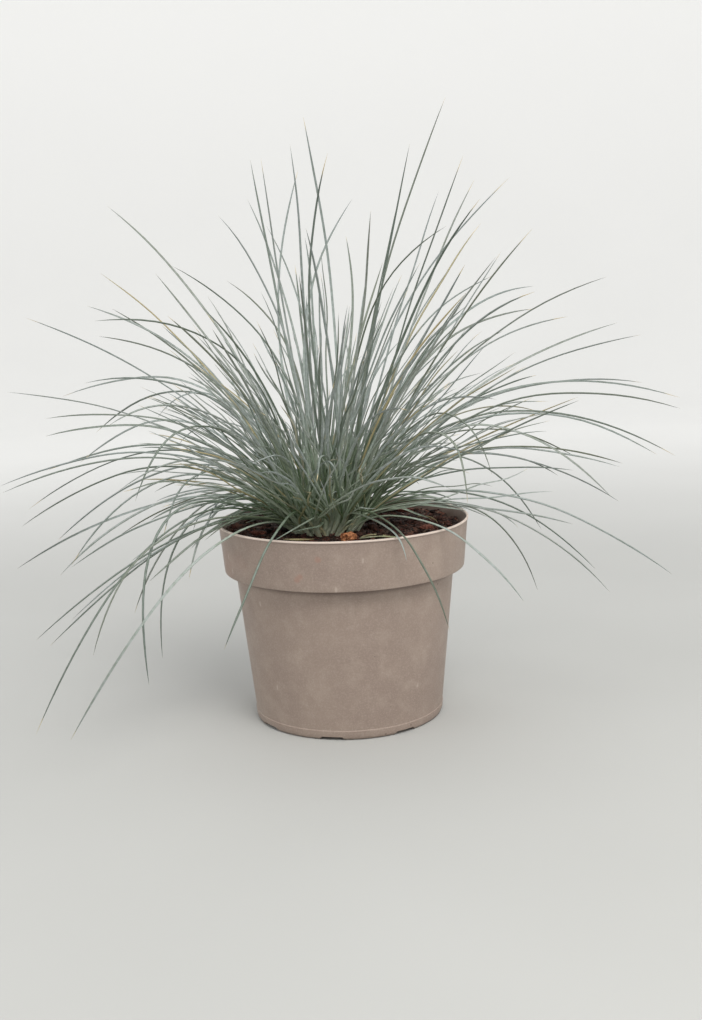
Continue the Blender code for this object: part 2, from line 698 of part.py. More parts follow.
def best_turn(ring, start):
    # Which corner of the ring meets which corner of the sheath's mouth
    ring_middle = sum(ring, Vector()) / 3
    start_middle = sum(start, Vector()) / 3
    costs = []
    for turn in range(3):
        turned_ring = ring[turn:] + ring[:turn]
        cost = sum(((a - ring_middle) - (b - start_middle)).length for a, b in zip(turned_ring, start))
        costs.append((cost, turn))
    return min(costs)[1]


def tiller_solid(sheath, blades):
    foot, mouth = sheath
    axis = (mouth - foot).normalized()
    east = axis.cross(Vector((0, 1, 0))).normalized()
    north = axis.cross(east)
    turns = []
    for middle, tip in blades:
        first = curve_through(mouth, middle, tip, RING_PLACES[0]) - mouth
        turns.append(math.atan2(first.dot(north), first.dot(east)))
    order = sorted(range(len(blades)), key=lambda i: turns[i])
    corners = max(3, len(blades))
    sector = 2 * math.pi / corners
    drift = Vector((0, 0, 0))
    for place, i in enumerate(order):
        drift += way(turns[i] - place * sector)
    first_angle = math.atan2(drift.y, drift.x) - sector / 2

    def corner(centre, radius, place, flat):
        angle = first_angle + place * sector
        spoke = east * math.cos(angle) + north * math.sin(angle)
        spot = centre + spoke * radius
        if flat:
            spot = spot + axis * ((foot.z - spot.z) / axis.z)
        return spot

    vertices = [corner(foot, SHEATH_RADIUS, place, True) for place in range(corners)]
    vertices += [corner(mouth, SHEATH_TOP_RADIUS, place, False) for place in range(corners)]
    hub = len(vertices)
    vertices.append(mouth.copy())
    faces = [tuple(reversed(range(corners)))]
    for place in range(corners):
        following = (place + 1) % corners
        faces.append((place, following, corners + following, corners + place))
    for place in range(corners):
        rim = [hub, corners + place, corners + (place + 1) % corners]
        if place >= len(blades):
            faces.append(tuple(rim))
            continue
        middle_spot = sum((vertices[i] for i in rim), Vector()) / 3
        inner = len(vertices)
        vertices += [vertices[i].lerp(middle_spot, MOUTH_MARGIN) for i in rim]
        for side in range(3):
            following = (side + 1) % 3
            faces.append((rim[side], rim[following], inner + following, inner + side))
        grow_blade(vertices, faces, inner, mouth, blades[order[place]])
    return vertices, faces


def grow_blade(vertices, faces, base, mouth, blade):
    middle, tip = blade
    start_middle = sum(vertices[base:base + 3], Vector()) / 3
    side = (middle - mouth).cross(Vector((0, 0, 1)))
    if side.length < 0.004:
        side = Vector((1, 0, 0))
    side.normalize()
    low = base
    for number, share in enumerate(RING_PLACES):
        point = curve_through(mouth, middle, tip, share)
        if number == 0:
            point += (start_middle - mouth) * 0.6
        along = curve_through(mouth, middle, tip, share + 0.02)
        along -= curve_through(mouth, middle, tip, share - 0.02)
        width = BLADE_WIDTH + (BLADE_TIP_WIDTH - BLADE_WIDTH) * share ** 2
        ring = cross_section(point, along.normalized(), side, width)
        if number == 0:
            turn = best_turn(ring, vertices[base:base + 3])
        ring = ring[turn:] + ring[:turn]
        high = len(vertices)
        vertices += ring
        for corner in range(3):
            following = (corner + 1) % 3
            faces.append((low + corner, low + following, high + following, high + corner))
        low = high
    end = len(vertices)
    vertices.append(tip.copy())
    for corner in range(3):
        faces.append((low + corner, low + (corner + 1) % 3, end))


def make_tillers():
    sheaths, blades = grow_tillers()
    grown = [i for i in range(TILLERS) if blades[i]]
    for number, i in enumerate(grown):
        vertices, faces = tiller_solid(sheaths[i], blades[i])
        solid_object(f"tiller_{number + 1:02d}", vertices, faces, LEAF_COLOUR, 0.6)


clear_scene()
make_pot()
make_soil()
make_bark()
make_tillers()
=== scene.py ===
import math
import random

import bmesh
import bpy
import numpy as np
from mathutils import Matrix, Vector, noise


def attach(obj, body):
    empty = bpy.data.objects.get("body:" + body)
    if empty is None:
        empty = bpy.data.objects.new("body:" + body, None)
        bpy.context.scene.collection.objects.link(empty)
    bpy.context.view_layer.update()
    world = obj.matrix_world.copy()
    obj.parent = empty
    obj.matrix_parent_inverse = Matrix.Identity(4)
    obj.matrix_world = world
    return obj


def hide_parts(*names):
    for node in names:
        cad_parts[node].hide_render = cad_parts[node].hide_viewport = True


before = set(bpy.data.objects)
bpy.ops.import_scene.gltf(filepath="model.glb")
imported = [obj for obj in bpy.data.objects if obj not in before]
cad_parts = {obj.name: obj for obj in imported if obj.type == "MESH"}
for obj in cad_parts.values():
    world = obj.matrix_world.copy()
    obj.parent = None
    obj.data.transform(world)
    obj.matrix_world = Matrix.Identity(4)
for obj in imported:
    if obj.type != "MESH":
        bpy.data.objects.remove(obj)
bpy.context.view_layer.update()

# Pot: a round moulded pot of about three litres, with a deep collar under its rim
RIM_RADIUS = 0.0929
RIM_TOP = 0.1486
LIP_HEIGHT = 0.0018
LIP_OVERHANG = 0.0005
COLLAR_BOTTOM_RADIUS = 0.0891
COLLAR_BOTTOM = 0.1124
BODY_TOP_RADIUS = 0.0815
BASE_RADIUS = 0.0707
BASE_EDGE_ROUND = 0.003
MOULD_LINE_HEIGHT = 0.0068
MOULD_LINE_DEPTH = 0.0004
WALL = 0.0022
FLOOR_TOP = 0.005
CHANNEL_COUNT = 8
CHANNEL_WIDTH = 0.018
CHANNEL_DEPTH = 0.0025
CHANNEL_INNER_RADIUS = 0.043
FRONT_CHANNEL_ANGLE = math.radians(-100.6)
DRAIN_HOLE_RADIUS = 0.0045
DRAIN_HOLE_AT = 0.052

# Soil: a dark bark compost a little below the rim, level where the grass stands
GAP = 0.0003
SOIL_TOP = 0.1402
SOIL_BUMP = 0.0016
LEVEL_RADIUS = 0.036
LEVEL_FADE = 0.016

# Crown of the clump: where its tillers stand
CROWN = Vector((-0.0125, -0.008, 0.0))
CROWN_RADIUS = 0.0235
# The thick of the clump in the photo, in centimetres in the plane of the pot's axis
THICK_WIDTH = 17.0
THICK_HEIGHT = 20.5
THICK_FOOT = 15.0
HIDDEN_WIDTH = 8.5
TILLERS = 50
TURN = math.radians(137.5)
SHEATH_INNER_LENGTH = 0.024
SHEATH_OUTER_LENGTH = 0.014
GREATEST_LEAN = math.radians(52)
FREE_SHORTEST = 0.14
FREE_SHORTEST_OUTER = 0.11
FREE_LONGEST = 0.24
FREE_DEEPER = 0.07

# Blades: how many there are, and the room that they and the sheaths keep from each other
BLADES_A_TILLER = 4
BLADES_IN_ALL = 192
RING_PLACES = (0.10, 0.32, 0.55, 0.78)
STRETCH_REACH = (0.0014, 0.0012, 0.00092, 0.0009, 0.00088)
SIBLING_GAP = 0.0017
SHEATH_REACH = 0.0020
SHEATH_APART = 0.0042
TRIES = 120
OTHER_TILLERS = 8

# Clearances that a blade keeps from the pot, the soil and the ground
OVER_RIM = 0.0016
OVER_SOIL = 0.0030
LOWEST_BLADE = 0.012

# The photo's eye point, in metres. Leaves are read off in centimetres across and up in the
# upright plane through the pot's axis, and each then lies on the eye's line through that spot.
EYE = Vector((0.0059, -0.8813, 0.309))

# Leaves that stand out in the photo: tip across and up, middle across and up, in centimetres,
# and the tip's distance behind the pot's axis, where minus is towards the viewer. Its middle
# lies at this share of that distance, unless a sixth number gives the middle's own.
MIDDLE_SHARE = 0.45
PHOTO_LEAVES = (
    # upright leaves at the top, left to right
    (-16.0, 37.9, -8.0, 28.0, 4.0),
    (-12.9, 33.1, -6.6, 24.0, -9.0),
    (-11.7, 33.6, -4.2, 26.3, 9.0),
    (-12.2, 30.1, -6.4, 23.2, -12.0),
    (-12.7, 29.4, -7.0, 23.0, 14.0),
    (-9.0, 29.0, -5.3, 21.8, -16.0),
    (-8.2, 37.0, -3.7, 28.0, -8.0),
    (-7.8, 32.4, -3.2, 26.3, 13.0),
    (-6.1, 38.1, -3.0, 28.0, 10.0),
    (-5.7, 40.8, -3.9, 29.0, 4.0),
    (-5.0, 40.9, -3.6, 29.0, -6.0),
    (-4.8, 36.2, -1.8, 27.0, 12.0),
    (-2.85, 41.8, -2.3, 30.0, -3.0),
    (-2.4, 40.0, -4.2, 28.0, 7.0),
    (-2.0, 35.9, -0.6, 27.0, -11.0),
    (-1.85, 43.6, -0.2, 30.0, 2.0),
    (-0.2, 41.1, -1.8, 29.0, -6.0),
    (1.4, 37.9, -2.4, 28.0, 9.0),
    (0.9, 35.3, 0.9, 27.0, 13.0),
    (2.7, 37.0, 1.4, 27.0, -10.0),
    (4.9, 38.3, 2.4, 28.0, 8.0),
    (5.6, 41.5, 2.7, 28.5, -4.0),
    (8.2, 44.6, 2.8, 29.5, 2.0),
    (7.6, 38.2, 4.0, 28.0, 9.0),
    (8.1, 35.8, 2.0, 28.5, -9.0),
    (9.4, 40.6, 4.6, 28.0, -4.0),
    (10.1, 38.9, 5.2, 28.0, 6.0),
    (10.5, 37.6, 5.0, 28.5, -8.0),
    (12.6, 39.0, 3.8, 28.0, 3.0),
    (10.6, 35.9, 5.0, 27.3, 9.0),
    (9.4, 33.0, 5.0, 25.5, -12.0),
    (14.3, 35.4, 6.3, 25.2, -5.0),
    (12.0, 33.9, 6.5, 25.5, 10.0),
    (11.6, 33.5, 5.8, 25.5, -10.0),
    (11.4, 32.2, 4.8, 26.5, 12.0),
    # right side, from high to low
    (14.3, 31.3, 6.5, 27.0, 11.0),
    (14.4, 30.9, 6.8, 25.5, -11.0),
    (14.4, 29.7, 6.2, 26.0, 14.0),
    (19.6, 31.8, 8.7, 25.8, -4.0),
    (16.8, 29.1, 7.6, 25.0, 10.0),
    (20.4, 28.5, 9.3, 23.6, 6.0),
    (22.1, 27.6, 10.0, 23.5, -5.0),
    (14.5, 24.9, 7.5, 22.0, 15.0),
    (25.0, 22.9, 11.5, 23.7, 3.0),
    (22.2, 24.1, 10.3, 23.2, 8.0),
    (25.1, 22.1, 11.6, 22.8, -4.0),
    (17.5, 23.2, 8.0, 19.5, 13.0),
    (17.6, 23.0, 8.2, 18.9, -12.0),
    (24.8, 18.6, 11.5, 22.3, 5.0),
    (23.4, 18.8, 11.0, 21.9, -6.0),
    (20.8, 18.2, 9.9, 19.6, 9.0),
    (20.6, 17.9, 9.6, 19.4, -8.0),
    (17.4, 18.8, 8.6, 21.0, 13.0),
    (20.0, 15.7, 9.6, 21.4, -9.0),
    (17.2, 17.8, 8.2, 17.9, 12.0),
    (20.6, 15.3, 10.0, 19.3, 7.0),
    (24.6, 9.6, 12.3, 16.1, -5.0),
    (14.8, 13.4, 8.5, 19.2, 12.0),
    (17.2, 13.7, 8.8, 15.4, 3.0),
    (19.9, 8.4, 10.8, 15.1, -4.0),
    (18.9, 10.2, 10.3, 15.9, 4.0),
    (14.5, 8.7, 9.9, 15.1, 2.0),
    (13.1, 13.6, 8.4, 15.5, 5.0),
    # leaves that hang over the front of the rim
    (7.8, 5.8, 4.4, 13.3, -10.5, -8.9),
    (4.65, 11.3, 3.3, 13.9, -10.3, -7.6),
    (-9.4, 4.9, -5.2, 13.6, -10.5, -8.6),
    (13.4, 7.9, 7.6, 13.6, -9.0, -6.6),
    (-21.6, -1.9, -11.5, 11.5, -14.0, -8.6),
    (-24.2, -1.4, -13.6, 13.9, -14.0, -7.0),
    (-19.4, 4.8, -13.4, 13.7, -12.0, -7.5),
    (-23.6, 6.1, -12.5, 13.7, -8.0, -5.0),
    (-22.6, 5.7, -11.8, 13.8, -10.0, -6.0),
    (-20.8, 7.7, -11.2, 14.2, -4.0, -2.5),
    (-15.3, 2.3, -13.0, 14.8, -10.0, -6.0),
    (-14.1, 4.4, -11.6, 14.6, -7.0, -4.0),
    (-14.8, 10.4, -8.4, 14.8, -8.0, -4.5),
    # left side, from high to low
    (-22.5, 30.3, -11.0, 23.9, 5.0),
    (-16.9, 33.3, -9.2, 25.5, 7.0),
    (-18.0, 31.0, -8.6, 24.4, -7.0),
    (-16.2, 30.7, -8.0, 23.8, 10.0),
    (-17.5, 29.9, -7.2, 26.6, -9.0),
    (-17.3, 28.8, -8.4, 24.7, 11.0),
    (-18.6, 25.4, -9.2, 23.8, -9.0),
    (-20.2, 24.5, -9.8, 24.7, 8.0),
    (-24.3, 25.0, -12.3, 21.8, -3.0),
    (-21.6, 22.9, -11.0, 21.9, 7.0),
    (-21.7, 21.6, -11.2, 21.3, -7.0),
    (-18.0, 21.8, -9.8, 24.4, 12.0),
    (-17.0, 22.3, -9.0, 22.7, -12.0),
    (-19.3, 19.6, -10.9, 22.3, 9.0),
    (-25.4, 18.0, -13.2, 20.1, 2.0),
    (-25.2, 17.5, -13.0, 19.5, -5.0),
    (-21.8, 19.1, -11.0, 20.3, 9.0),
    (-23.4, 16.2, -12.6, 20.0, 6.0),
    (-24.0, 14.9, -12.8, 19.1, -5.0),
    (-21.4, 13.8, -11.8, 18.8, 7.0),
    (-20.5, 11.9, -12.0, 18.2, -8.0),
    (-24.6, 11.7, -13.2, 16.5, 3.0),
    (-21.4, 11.1, -12.0, 16.9, -7.0),
    (-20.6, 11.7, -11.0, 16.0, 4.0),
    (-16.8, 14.0, -9.2, 17.1, 11.0),
    (-16.0, 12.0, -8.7, 15.8, -8.0),
    (-15.4, 16.6, -9.8, 22.0, -14.0),
    (-16.0, 8.0, -10.3, 16.1, 4.0),
    (-11.8, 10.5, -8.6, 16.2, -7.0),
    # shorter leaves in the thick of the clump
    (-13.5, 13.9, -9.8, 18.7, -6.0),
    (-13.4, 22.7, -8.6, 23.9, 6.0),
    (-12.0, 20.6, -8.2, 21.6, 8.0),
    (-11.0, 17.8, -7.9, 19.4, 5.0),
    (-14.0, 17.2, -9.0, 18.0, 9.0),
    (-14.9, 20.5, -9.2, 19.6, 10.0),
    (-12.5, 19.9, -8.2, 18.0, 4.0),
    (-10.3, 14.1, -7.9, 16.8, -6.0),
    (-11.3, 14.1, -8.2, 16.6, 3.0),
    (11.1, 17.7, 6.9, 22.3, -8.0),
    (9.3, 15.6, 6.4, 21.0, -11.0),
    (5.7, 17.1, 3.0, 18.0, 9.0),
    (10.9, 14.4, 5.6, 16.1, 3.0),
)

# Loose bark on the soil: name, place across, place behind the axis, size and colour
LOOSE_BARK = (
    ("bark_clod", 0.0036, -0.0600, (0.0104, 0.0084, 0.0060), (0.48, 0.20, 0.09)),
    ("bark_chip_1", 0.0460, -0.0600, (0.0130, 0.0060, 0.0030), (0.20, 0.055, 0.035)),
    ("bark_chip_2", 0.0600, -0.0280, (0.0110, 0.0070, 0.0028), (0.10, 0.045, 0.030)),
    ("bark_chip_3", -0.0620, -0.0240, (0.0120, 0.0060, 0.0030), (0.13, 0.070, 0.040)),
    ("bark_chip_4", 0.0480, 0.0420, (0.0140, 0.0080, 0.0032), (0.11, 0.050, 0.032)),
    ("bark_chip_5", -0.0520, 0.0450, (0.0120, 0.0070, 0.0030), (0.12, 0.060, 0.040)),
)

SEED = 2719


def outer_radius(height):
    if height < COLLAR_BOTTOM:
        share = height / COLLAR_BOTTOM
        return BASE_RADIUS + (BODY_TOP_RADIUS - BASE_RADIUS) * share
    share = (height - COLLAR_BOTTOM) / (RIM_TOP - COLLAR_BOTTOM)
    return COLLAR_BOTTOM_RADIUS + (RIM_RADIUS - LIP_OVERHANG - COLLAR_BOTTOM_RADIUS) * share


def inside_radius(height):
    if height < COLLAR_BOTTOM + WALL:
        share = (height - FLOOR_TOP) / (COLLAR_BOTTOM + WALL - FLOOR_TOP)
        low = outer_radius(FLOOR_TOP) - WALL
        return low + (BODY_TOP_RADIUS - WALL - low) * share
    lip_bottom = RIM_TOP - LIP_HEIGHT
    share = (height - COLLAR_BOTTOM - WALL) / (lip_bottom - COLLAR_BOTTOM - WALL)
    low = COLLAR_BOTTOM_RADIUS - WALL
    return low + (outer_radius(lip_bottom) - WALL - low) * share


def soil_height(x, y):
    away = math.hypot(x - CROWN.x, y - CROWN.y)
    fade = min(1.0, max(0.0, (away - LEVEL_RADIUS) / LEVEL_FADE))
    lump = math.sin(173 * x + 1.3) * math.cos(147 * y - 0.4)
    lump += 0.6 * math.sin(311 * x - 207 * y) + 0.5 * math.cos(391 * y + 119 * x)
    return SOIL_TOP + SOIL_BUMP * fade * lump


def highest_soil(x, y, reach):
    heights = []
    for step in range(24):
        angle = 2 * math.pi * step / 24
        for share in (0.0, 0.5, 1.0, 1.4):
            spot = Vector((x, y, 0)) + way(angle) * share * reach
            heights.append(soil_height(spot.x, spot.y))
    return max(heights)


def on_sight_line(across, up, behind):
    seen = Vector((across / 100, 0.0, up / 100))
    return EYE + (seen - EYE) * (1.0 + behind / 100 / -EYE.y)


def tiller_feet():
    feet = []
    for i in range(TILLERS):
        radius = CROWN_RADIUS * math.sqrt((i + 0.5) / TILLERS)
        spot = Vector((radius * math.cos(i * TURN), radius * math.sin(i * TURN), SOIL_TOP + GAP))
        feet.append(CROWN + spot)
    return feet


def curve_through(start, middle, tip, share):
    bend = 2 * middle - (start + tip) / 2
    return (1 - share) ** 2 * start + 2 * share * (1 - share) * bend + share ** 2 * tip


def way(angle):
    return Vector((math.cos(angle), math.sin(angle), 0.0))


def away_from(angle, other):
    return abs((angle - other + math.pi) % (2 * math.pi) - math.pi)


def share_out_photo_leaves(feet):
    # Each leaf of the photo goes to the tiller that stands best for its reach and direction
    plans = [[] for _ in feet]
    for row in PHOTO_LEAVES:
        tip = on_sight_line(row[0], row[1], row[4])
        reach = Vector((tip.x - CROWN.x, tip.y - CROWN.y, 0.0))
        heading = math.atan2(reach.y, reach.x)
        droop = min(1.0, reach.length / 0.19) * min(1.0, max(0.25, (0.46 - tip.z) / 0.2))
        wanted = CROWN + way(heading) * CROWN_RADIUS * droop
        near = [math.hypot(foot.x - wanted.x, foot.y - wanted.y) for foot in feet]
        costs = []
        for i in range(len(feet)):
            cost = near[i] + 0.004 * len(plans[i]) ** 2
            cost += sum(0.012 * away_from(heading, other["heading"]) for other in plans[i])
            if len(plans[i]) < BLADES_A_TILLER:
                costs.append((cost, i))
        nearest = sorted(range(len(feet)), key=lambda i: near[i])
        plans[min(costs)[1]].append({"heading": heading, "row": row, "nearest": nearest})
    return plans


def free_leaf(foot, lot, spread):
    # A leaf that the photo doesn't single out: upright in the middle, arching out at the edge
    out = foot - CROWN
    share = math.hypot(out.x, out.y) / CROWN_RADIUS
    heading = math.atan2(out.y, out.x) + lot.gauss(0.0, 0.45) * spread
    lean = math.radians(6 + 42 * share ** 1.2 + lot.gauss(0.0, 6) * spread)
    longest = FREE_LONGEST + FREE_DEEPER * abs(math.sin(heading))
    length = lot.uniform(FREE_SHORTEST_OUTER if share > 0.5 else FREE_SHORTEST, longest)
    droop = math.radians(lot.uniform(8, 34) + 50 * share ** 2 * lot.random())
    sway = way(heading + lot.gauss(0.0, 0.12))
    lean = max(math.radians(2), lean)
    first = way(heading) * math.sin(lean) + Vector((0, 0, math.cos(lean)))
    last = sway * math.sin(lean + droop) + Vector((0, 0, math.cos(lean + droop)))
    start = foot + first * LEAF_START
    bend = start + first * length * 0.5
    tip = bend + last * length * 0.5
    return (start + 2 * bend + tip) / 4, tip


def photo_leaf(row, lot, loose):
    # A leaf of the photo on its sight lines. Looser tries move it along them, and a little across.
    behind = row[4] + lot.uniform(-3.0, 3.0) * loose
    if len(row) > 5:
        mid_behind = row[5] + lot.uniform(-0.7, 0.7) * loose
    else:
        mid_behind = MIDDLE_SHARE * behind + lot.uniform(-2.2, 2.2) * loose
    mid_across = row[2] + lot.uniform(-0.3, 0.3) * loose
    mid_up = row[3] + lot.uniform(-0.2, 0.5) * loose
    return on_sight_line(mid_across, mid_up, mid_behind), on_sight_line(row[0], row[1], behind)


def within_thick(tip):
    # Whether a leaf's tip, seen from the photo's eye point, ends in the thick of the clump or
    # hangs out of sight behind the pot. Every leaf that ends further out is read off the photo.
    seen = EYE + (tip - EYE) * (-EYE.y / (tip.y - EYE.y))
    up = 100 * seen.z - THICK_FOOT
    if up < 0:
        return tip.y > RIM_RADIUS and abs(100 * seen.x) < HIDDEN_WIDTH
    return (100 * seen.x / THICK_WIDTH) ** 2 + (up / THICK_HEIGHT) ** 2 < 1


def clears_pot(mouth, middle, tip):
    share = np.linspace(0.02, 1.0, 50)[:, None]
    start, half, end = (np.array(tuple(spot)) for spot in (mouth, middle, tip))
    bend = 2 * half - (start + end) / 2
    spots = (1 - share) ** 2 * start + 2 * share * (1 - share) * bend + share ** 2 * end
    radius = np.hypot(spots[:, 0], spots[:, 1])
    least = np.full(len(spots), LOWEST_BLADE)
    least[radius < RIM_RADIUS + OVER_RIM] = RIM_TOP + OVER_RIM
    least[radius < inside_radius(SOIL_TOP) - 0.001] = SOIL_TOP + OVER_SOIL
    return bool((spots[:, 2] >= least).all())


def clears_bark(points):
    starts, ends = stretches(points)
    for _, x, y, size, _ in LOOSE_BARK:
        centre = np.array([[x, y, SOIL_TOP + size[2] / 2]])
        nearest = least_distance(starts, ends, centre, centre + 1e-6).min()
        if nearest < 0.62 * max(size) + 0.002:
            return False
    return True


def least_distance(first_starts, first_ends, second_starts, second_ends):
    # The least distance between two sets of straight stretches
    p = first_starts[:, None, :]
    q = second_starts[None, :, :]
    d1 = (first_ends - first_starts)[:, None, :]
    d2 = (second_ends - second_starts)[None, :, :]
    r = p - q
    a = (d1 * d1).sum(-1)
    e = (d2 * d2).sum(-1)
    f = (d2 * r).sum(-1)
    c = (d1 * r).sum(-1)
    b = (d1 * d2).sum(-1)
    denominator = np.maximum(a * e - b * b, 1e-14)
    s = np.clip((b * f - c * e) / denominator, 0, 1)
    t = np.clip((b * s + f) / e, 0, 1)
    s = np.clip((b * t - c) / a, 0, 1)
    nearest = (p + d1 * s[..., None]) - (q + d2 * t[..., None])
    return np.sqrt((nearest * nearest).sum(-1))


def stretches(points):
    spots = np.array([tuple(point) for point in points])
    return spots[:-1], spots[1:]


def has_room(points, tiller, sheaths, taken):
    # Whether a blade keeps clear of the other sheaths and of every blade placed so far
    starts, ends = stretches(points)
    reach = np.array(STRETCH_REACH)
    feet = np.array([tuple(foot) for i, (foot, mouth) in enumerate(sheaths) if i != tiller])
    mouths = np.array([tuple(mouth) for i, (foot, mouth) in enumerate(sheaths) if i != tiller])
    apart = least_distance(starts, ends, feet, mouths)
    if (apart < reach[:, None] + SHEATH_REACH).any():
        return False
    others = [spots for owner, spots in taken if owner != tiller]
    if others:
        other_starts = np.concatenate([spots[:-1] for spots in others])
        other_ends = np.concatenate([spots[1:] for spots in others])
        apart = least_distance(starts, ends, other_starts, other_ends)
        if (apart < reach[:, None] + np.tile(reach, len(others))[None, :]).any():
            return False
    for spots in [spots for owner, spots in taken if owner == tiller]:
        apart = least_distance(starts, ends, spots[:-1], spots[1:])
        if apart[1:, 1:].min() < SIBLING_GAP or np.linalg.norm(starts[1] - spots[1]) < SIBLING_GAP:
            return False
    return True


def grow_tillers():
    # The paths of all tillers: each has a foot, a sheath mouth and its blades
    lot = random.Random(SEED)
    feet = tiller_feet()
    plans = share_out_photo_leaves(feet)
    sheaths = []
    for i, foot in enumerate(feet):
        sheaths.append((foot, sheath_mouth(foot, plans[i], sheaths)))
    blades = [[] for _ in feet]
    taken = []
    left_over = []
    for i, rows in enumerate(plans):
        for plan in rows:
            if not add_blade(plan["row"], i, sheaths, blades, taken, lot):
                left_over.append(plan)
    for plan in left_over:
        free = [i for i in plan["nearest"] if len(blades[i]) < BLADES_A_TILLER][:OTHER_TILLERS]
        any(add_blade(plan["row"], i, sheaths, blades, taken, lot) for i in free)
    for wanted in range(1, BLADES_A_TILLER + 1):
        for i in range(TILLERS):
            if len(blades[i]) < wanted and len(taken) < BLADES_IN_ALL:
                add_blade(None, i, sheaths, blades, taken, lot)
    return sheaths, blades


def sheath_mouth(foot, plans, placed):
    out = foot - CROWN
    share = math.hypot(out.x, out.y) / CROWN_RADIUS
    length = SHEATH_INNER_LENGTH + (SHEATH_OUTER_LENGTH - SHEATH_INNER_LENGTH) * share
    lean = math.radians(4 + 34 * share)
    plain = way(math.atan2(out.y, out.x)) * math.sin(lean) + Vector((0, 0, math.cos(lean)))
    wish = plain.copy()
    for plan in plans:
        row = plan["row"]
        middle = on_sight_line(row[2], row[3], MIDDLE_SHARE * row[4])
        tip = on_sight_line(row[0], row[1], row[4])
        start = foot + plain * length
        first = curve_through(start, middle, tip, 0.1) - start
        wish += 0.5 * first.normalized()
    wish.normalize()
    for step in range(6):
        axis = wish.lerp(plain, step / 5).normalized()
        lean = min(GREATEST_LEAN, axis.angle(Vector((0, 0, 1))))
        axis = way(math.atan2(axis.y, axis.x)) * math.sin(lean) + Vector((0, 0, math.cos(lean)))
        mouth = foot + axis * length
        starts, ends = stretches((foot, mouth))
        if all(least_distance(starts, ends, *stretches(other)).min() > SHEATH_APART for other in placed):
            return mouth
    return mouth


def blade_points(mouth, blade):
    middle, tip = blade
    return [mouth] + [curve_through(mouth, middle, tip, share) for share in RING_PLACES] + [tip]


def add_blade(row, tiller, sheaths, blades, taken, lot):
    foot, mouth = sheaths[tiller]
    for attempt in range(TRIES):
        if row:
            middle, tip = photo_leaf(row, lot, min(1.0, attempt / 60))
        else:
            middle, tip = free_leaf(foot, lot, 1 + attempt / 80)
            if not within_thick(tip):
                continue
        points = blade_points(mouth, (middle, tip))
        if not clears_pot(mouth, middle, tip) or not clears_bark(points):
            continue
        if has_room(points, tiller, sheaths, taken):
            blades[tiller].append((middle, tip))
            taken.append((tiller, np.array([tuple(point) for point in points])))
            return True
    return False


# The photo's camera: its eye point, and how far it looks down and leans
PITCH = math.radians(10.0)
ROLL = math.radians(1.9)
LENS = 36.0 * 1200.0 / 1020.0

# Stage: a bowl of paper, the heights between which it grows lighter, and how its glow grows outward
STAGE_TOP = 2.4
STAGE_LOW = -0.05
STAGE_HIGH = 1.6
STAGE_NEAR = 0.25
STAGE_FAR = 2.0
FAR_GLOW = 0.43

# Finer grass: rings along a leaf, points round it, extra leaves and stubs on each tiller
LEAF_RINGS = 30
STUB_RINGS = 9
FILLERS_A_TILLER = 6
FILLER_SHORTEST = 0.06
FILLER_LONGEST = 0.20
LEAF_START = 0.018
STUBS_A_TILLER = 1
LEAF_WIDTHS = {"main": (0.0017, 0.0021), "filler": (0.0011, 0.0015), "low": (0.0016, 0.0019)}
SILVERY = 0.6
AGED = {"main": 0.02, "filler": 0.07, "low": 0.0}
SHEATH_DEPTH = 0.003
SHEATH_OUTER = 0.00165
SHEATH_INNER = 0.00085
SHEATH_WALL = 0.00016
SHEATH_OPENS = 0.014
LEAF_TIP_SHARE = 0.62
STUB_RADIUS = 0.0013
STUB_WIDTH = 0.0010

POT_SEGMENTS = 288
LIP_THICKNESS = 0.0017
LIP_TAPER = 0.007
SOIL_SEGMENTS = 288
SOIL_GRID_RINGS = 96
CRUMBS = 1500
FIBRES = 170

# Low leaves round the foot of the clump, read off the photo in the same way as PHOTO_LEAVES
LOW_LEAVES = (
    (-5.3, 13.2, -2.2, 14.9, -6.5, -4.5),
    (-3.9, 13.8, -1.5, 14.4, -5.2, -4.2),
    (-9.6, 14.6, -6.0, 16.0, -1.0, -1.5),
    (-10.4, 13.4, -6.6, 15.6, -3.0, -2.5),
    (-8.9, 14.4, -5.6, 15.4, -3.5, -3.0),
    (-8.0, 14.9, -5.2, 15.9, 1.0, 0.0),
    (-7.4, 14.6, -4.9, 15.2, -3.0, -2.6),
    (-11.5, 12.8, -7.4, 15.5, -4.0, -3.0),
    (-10.2, 15.6, -6.4, 16.6, 3.0, 1.5),
    (9.0, 15.2, 5.4, 16.2, 0.5, 0.0),
    (9.2, 15.1, 5.6, 15.8, -1.5, -1.5),
    (9.1, 15.0, 5.2, 15.6, -3.0, -2.5),
    (6.6, 14.4, 3.9, 15.4, -3.5, -3.0),
    (8.2, 15.9, 4.6, 16.6, 2.5, 1.5),
)

# Marks on the pot: degrees round it, where the viewer is at -90, and height in metres
POT_SPECKS = ((-39.5, 0.0799), (-35.0, 0.1060), (-68.9, 0.0023), (-51.8, 0.0046), (-66.0, 0.0224),
              (-46.9, 0.1259), (-75.5, 0.0620), (63.0, 0.0410), (118.0, 0.0930), (171.0, 0.0220))
POT_STAINS = ((-111.2, 0.1212), (-101.1, 0.1359), (-109.7, 0.1234), (38.0, 0.1265), (141.0, 0.1330))
POT_DRIPS = ((-134.1, 0.0348), (-47.6, 0.0333), (-93.9, 0.1146), (-139.7, 0.0970), (-81.9, 0.1343),
             (-156.6, 0.1286), (-153.5, 0.1191), (22.0, 0.0610), (96.0, 0.1240), (150.0, 0.0480))


# Mesh and material helpers


def srgb(red, green, blue):
    # A colour given as it looks on a screen, 0 to 255, as the linear values that shaders take
    values = []
    for value in (red, green, blue):
        share = value / 255
        values.append(share / 12.92 if share <= 0.04045 else ((share + 0.055) / 1.055) ** 2.4)
    return (*values, 1.0)


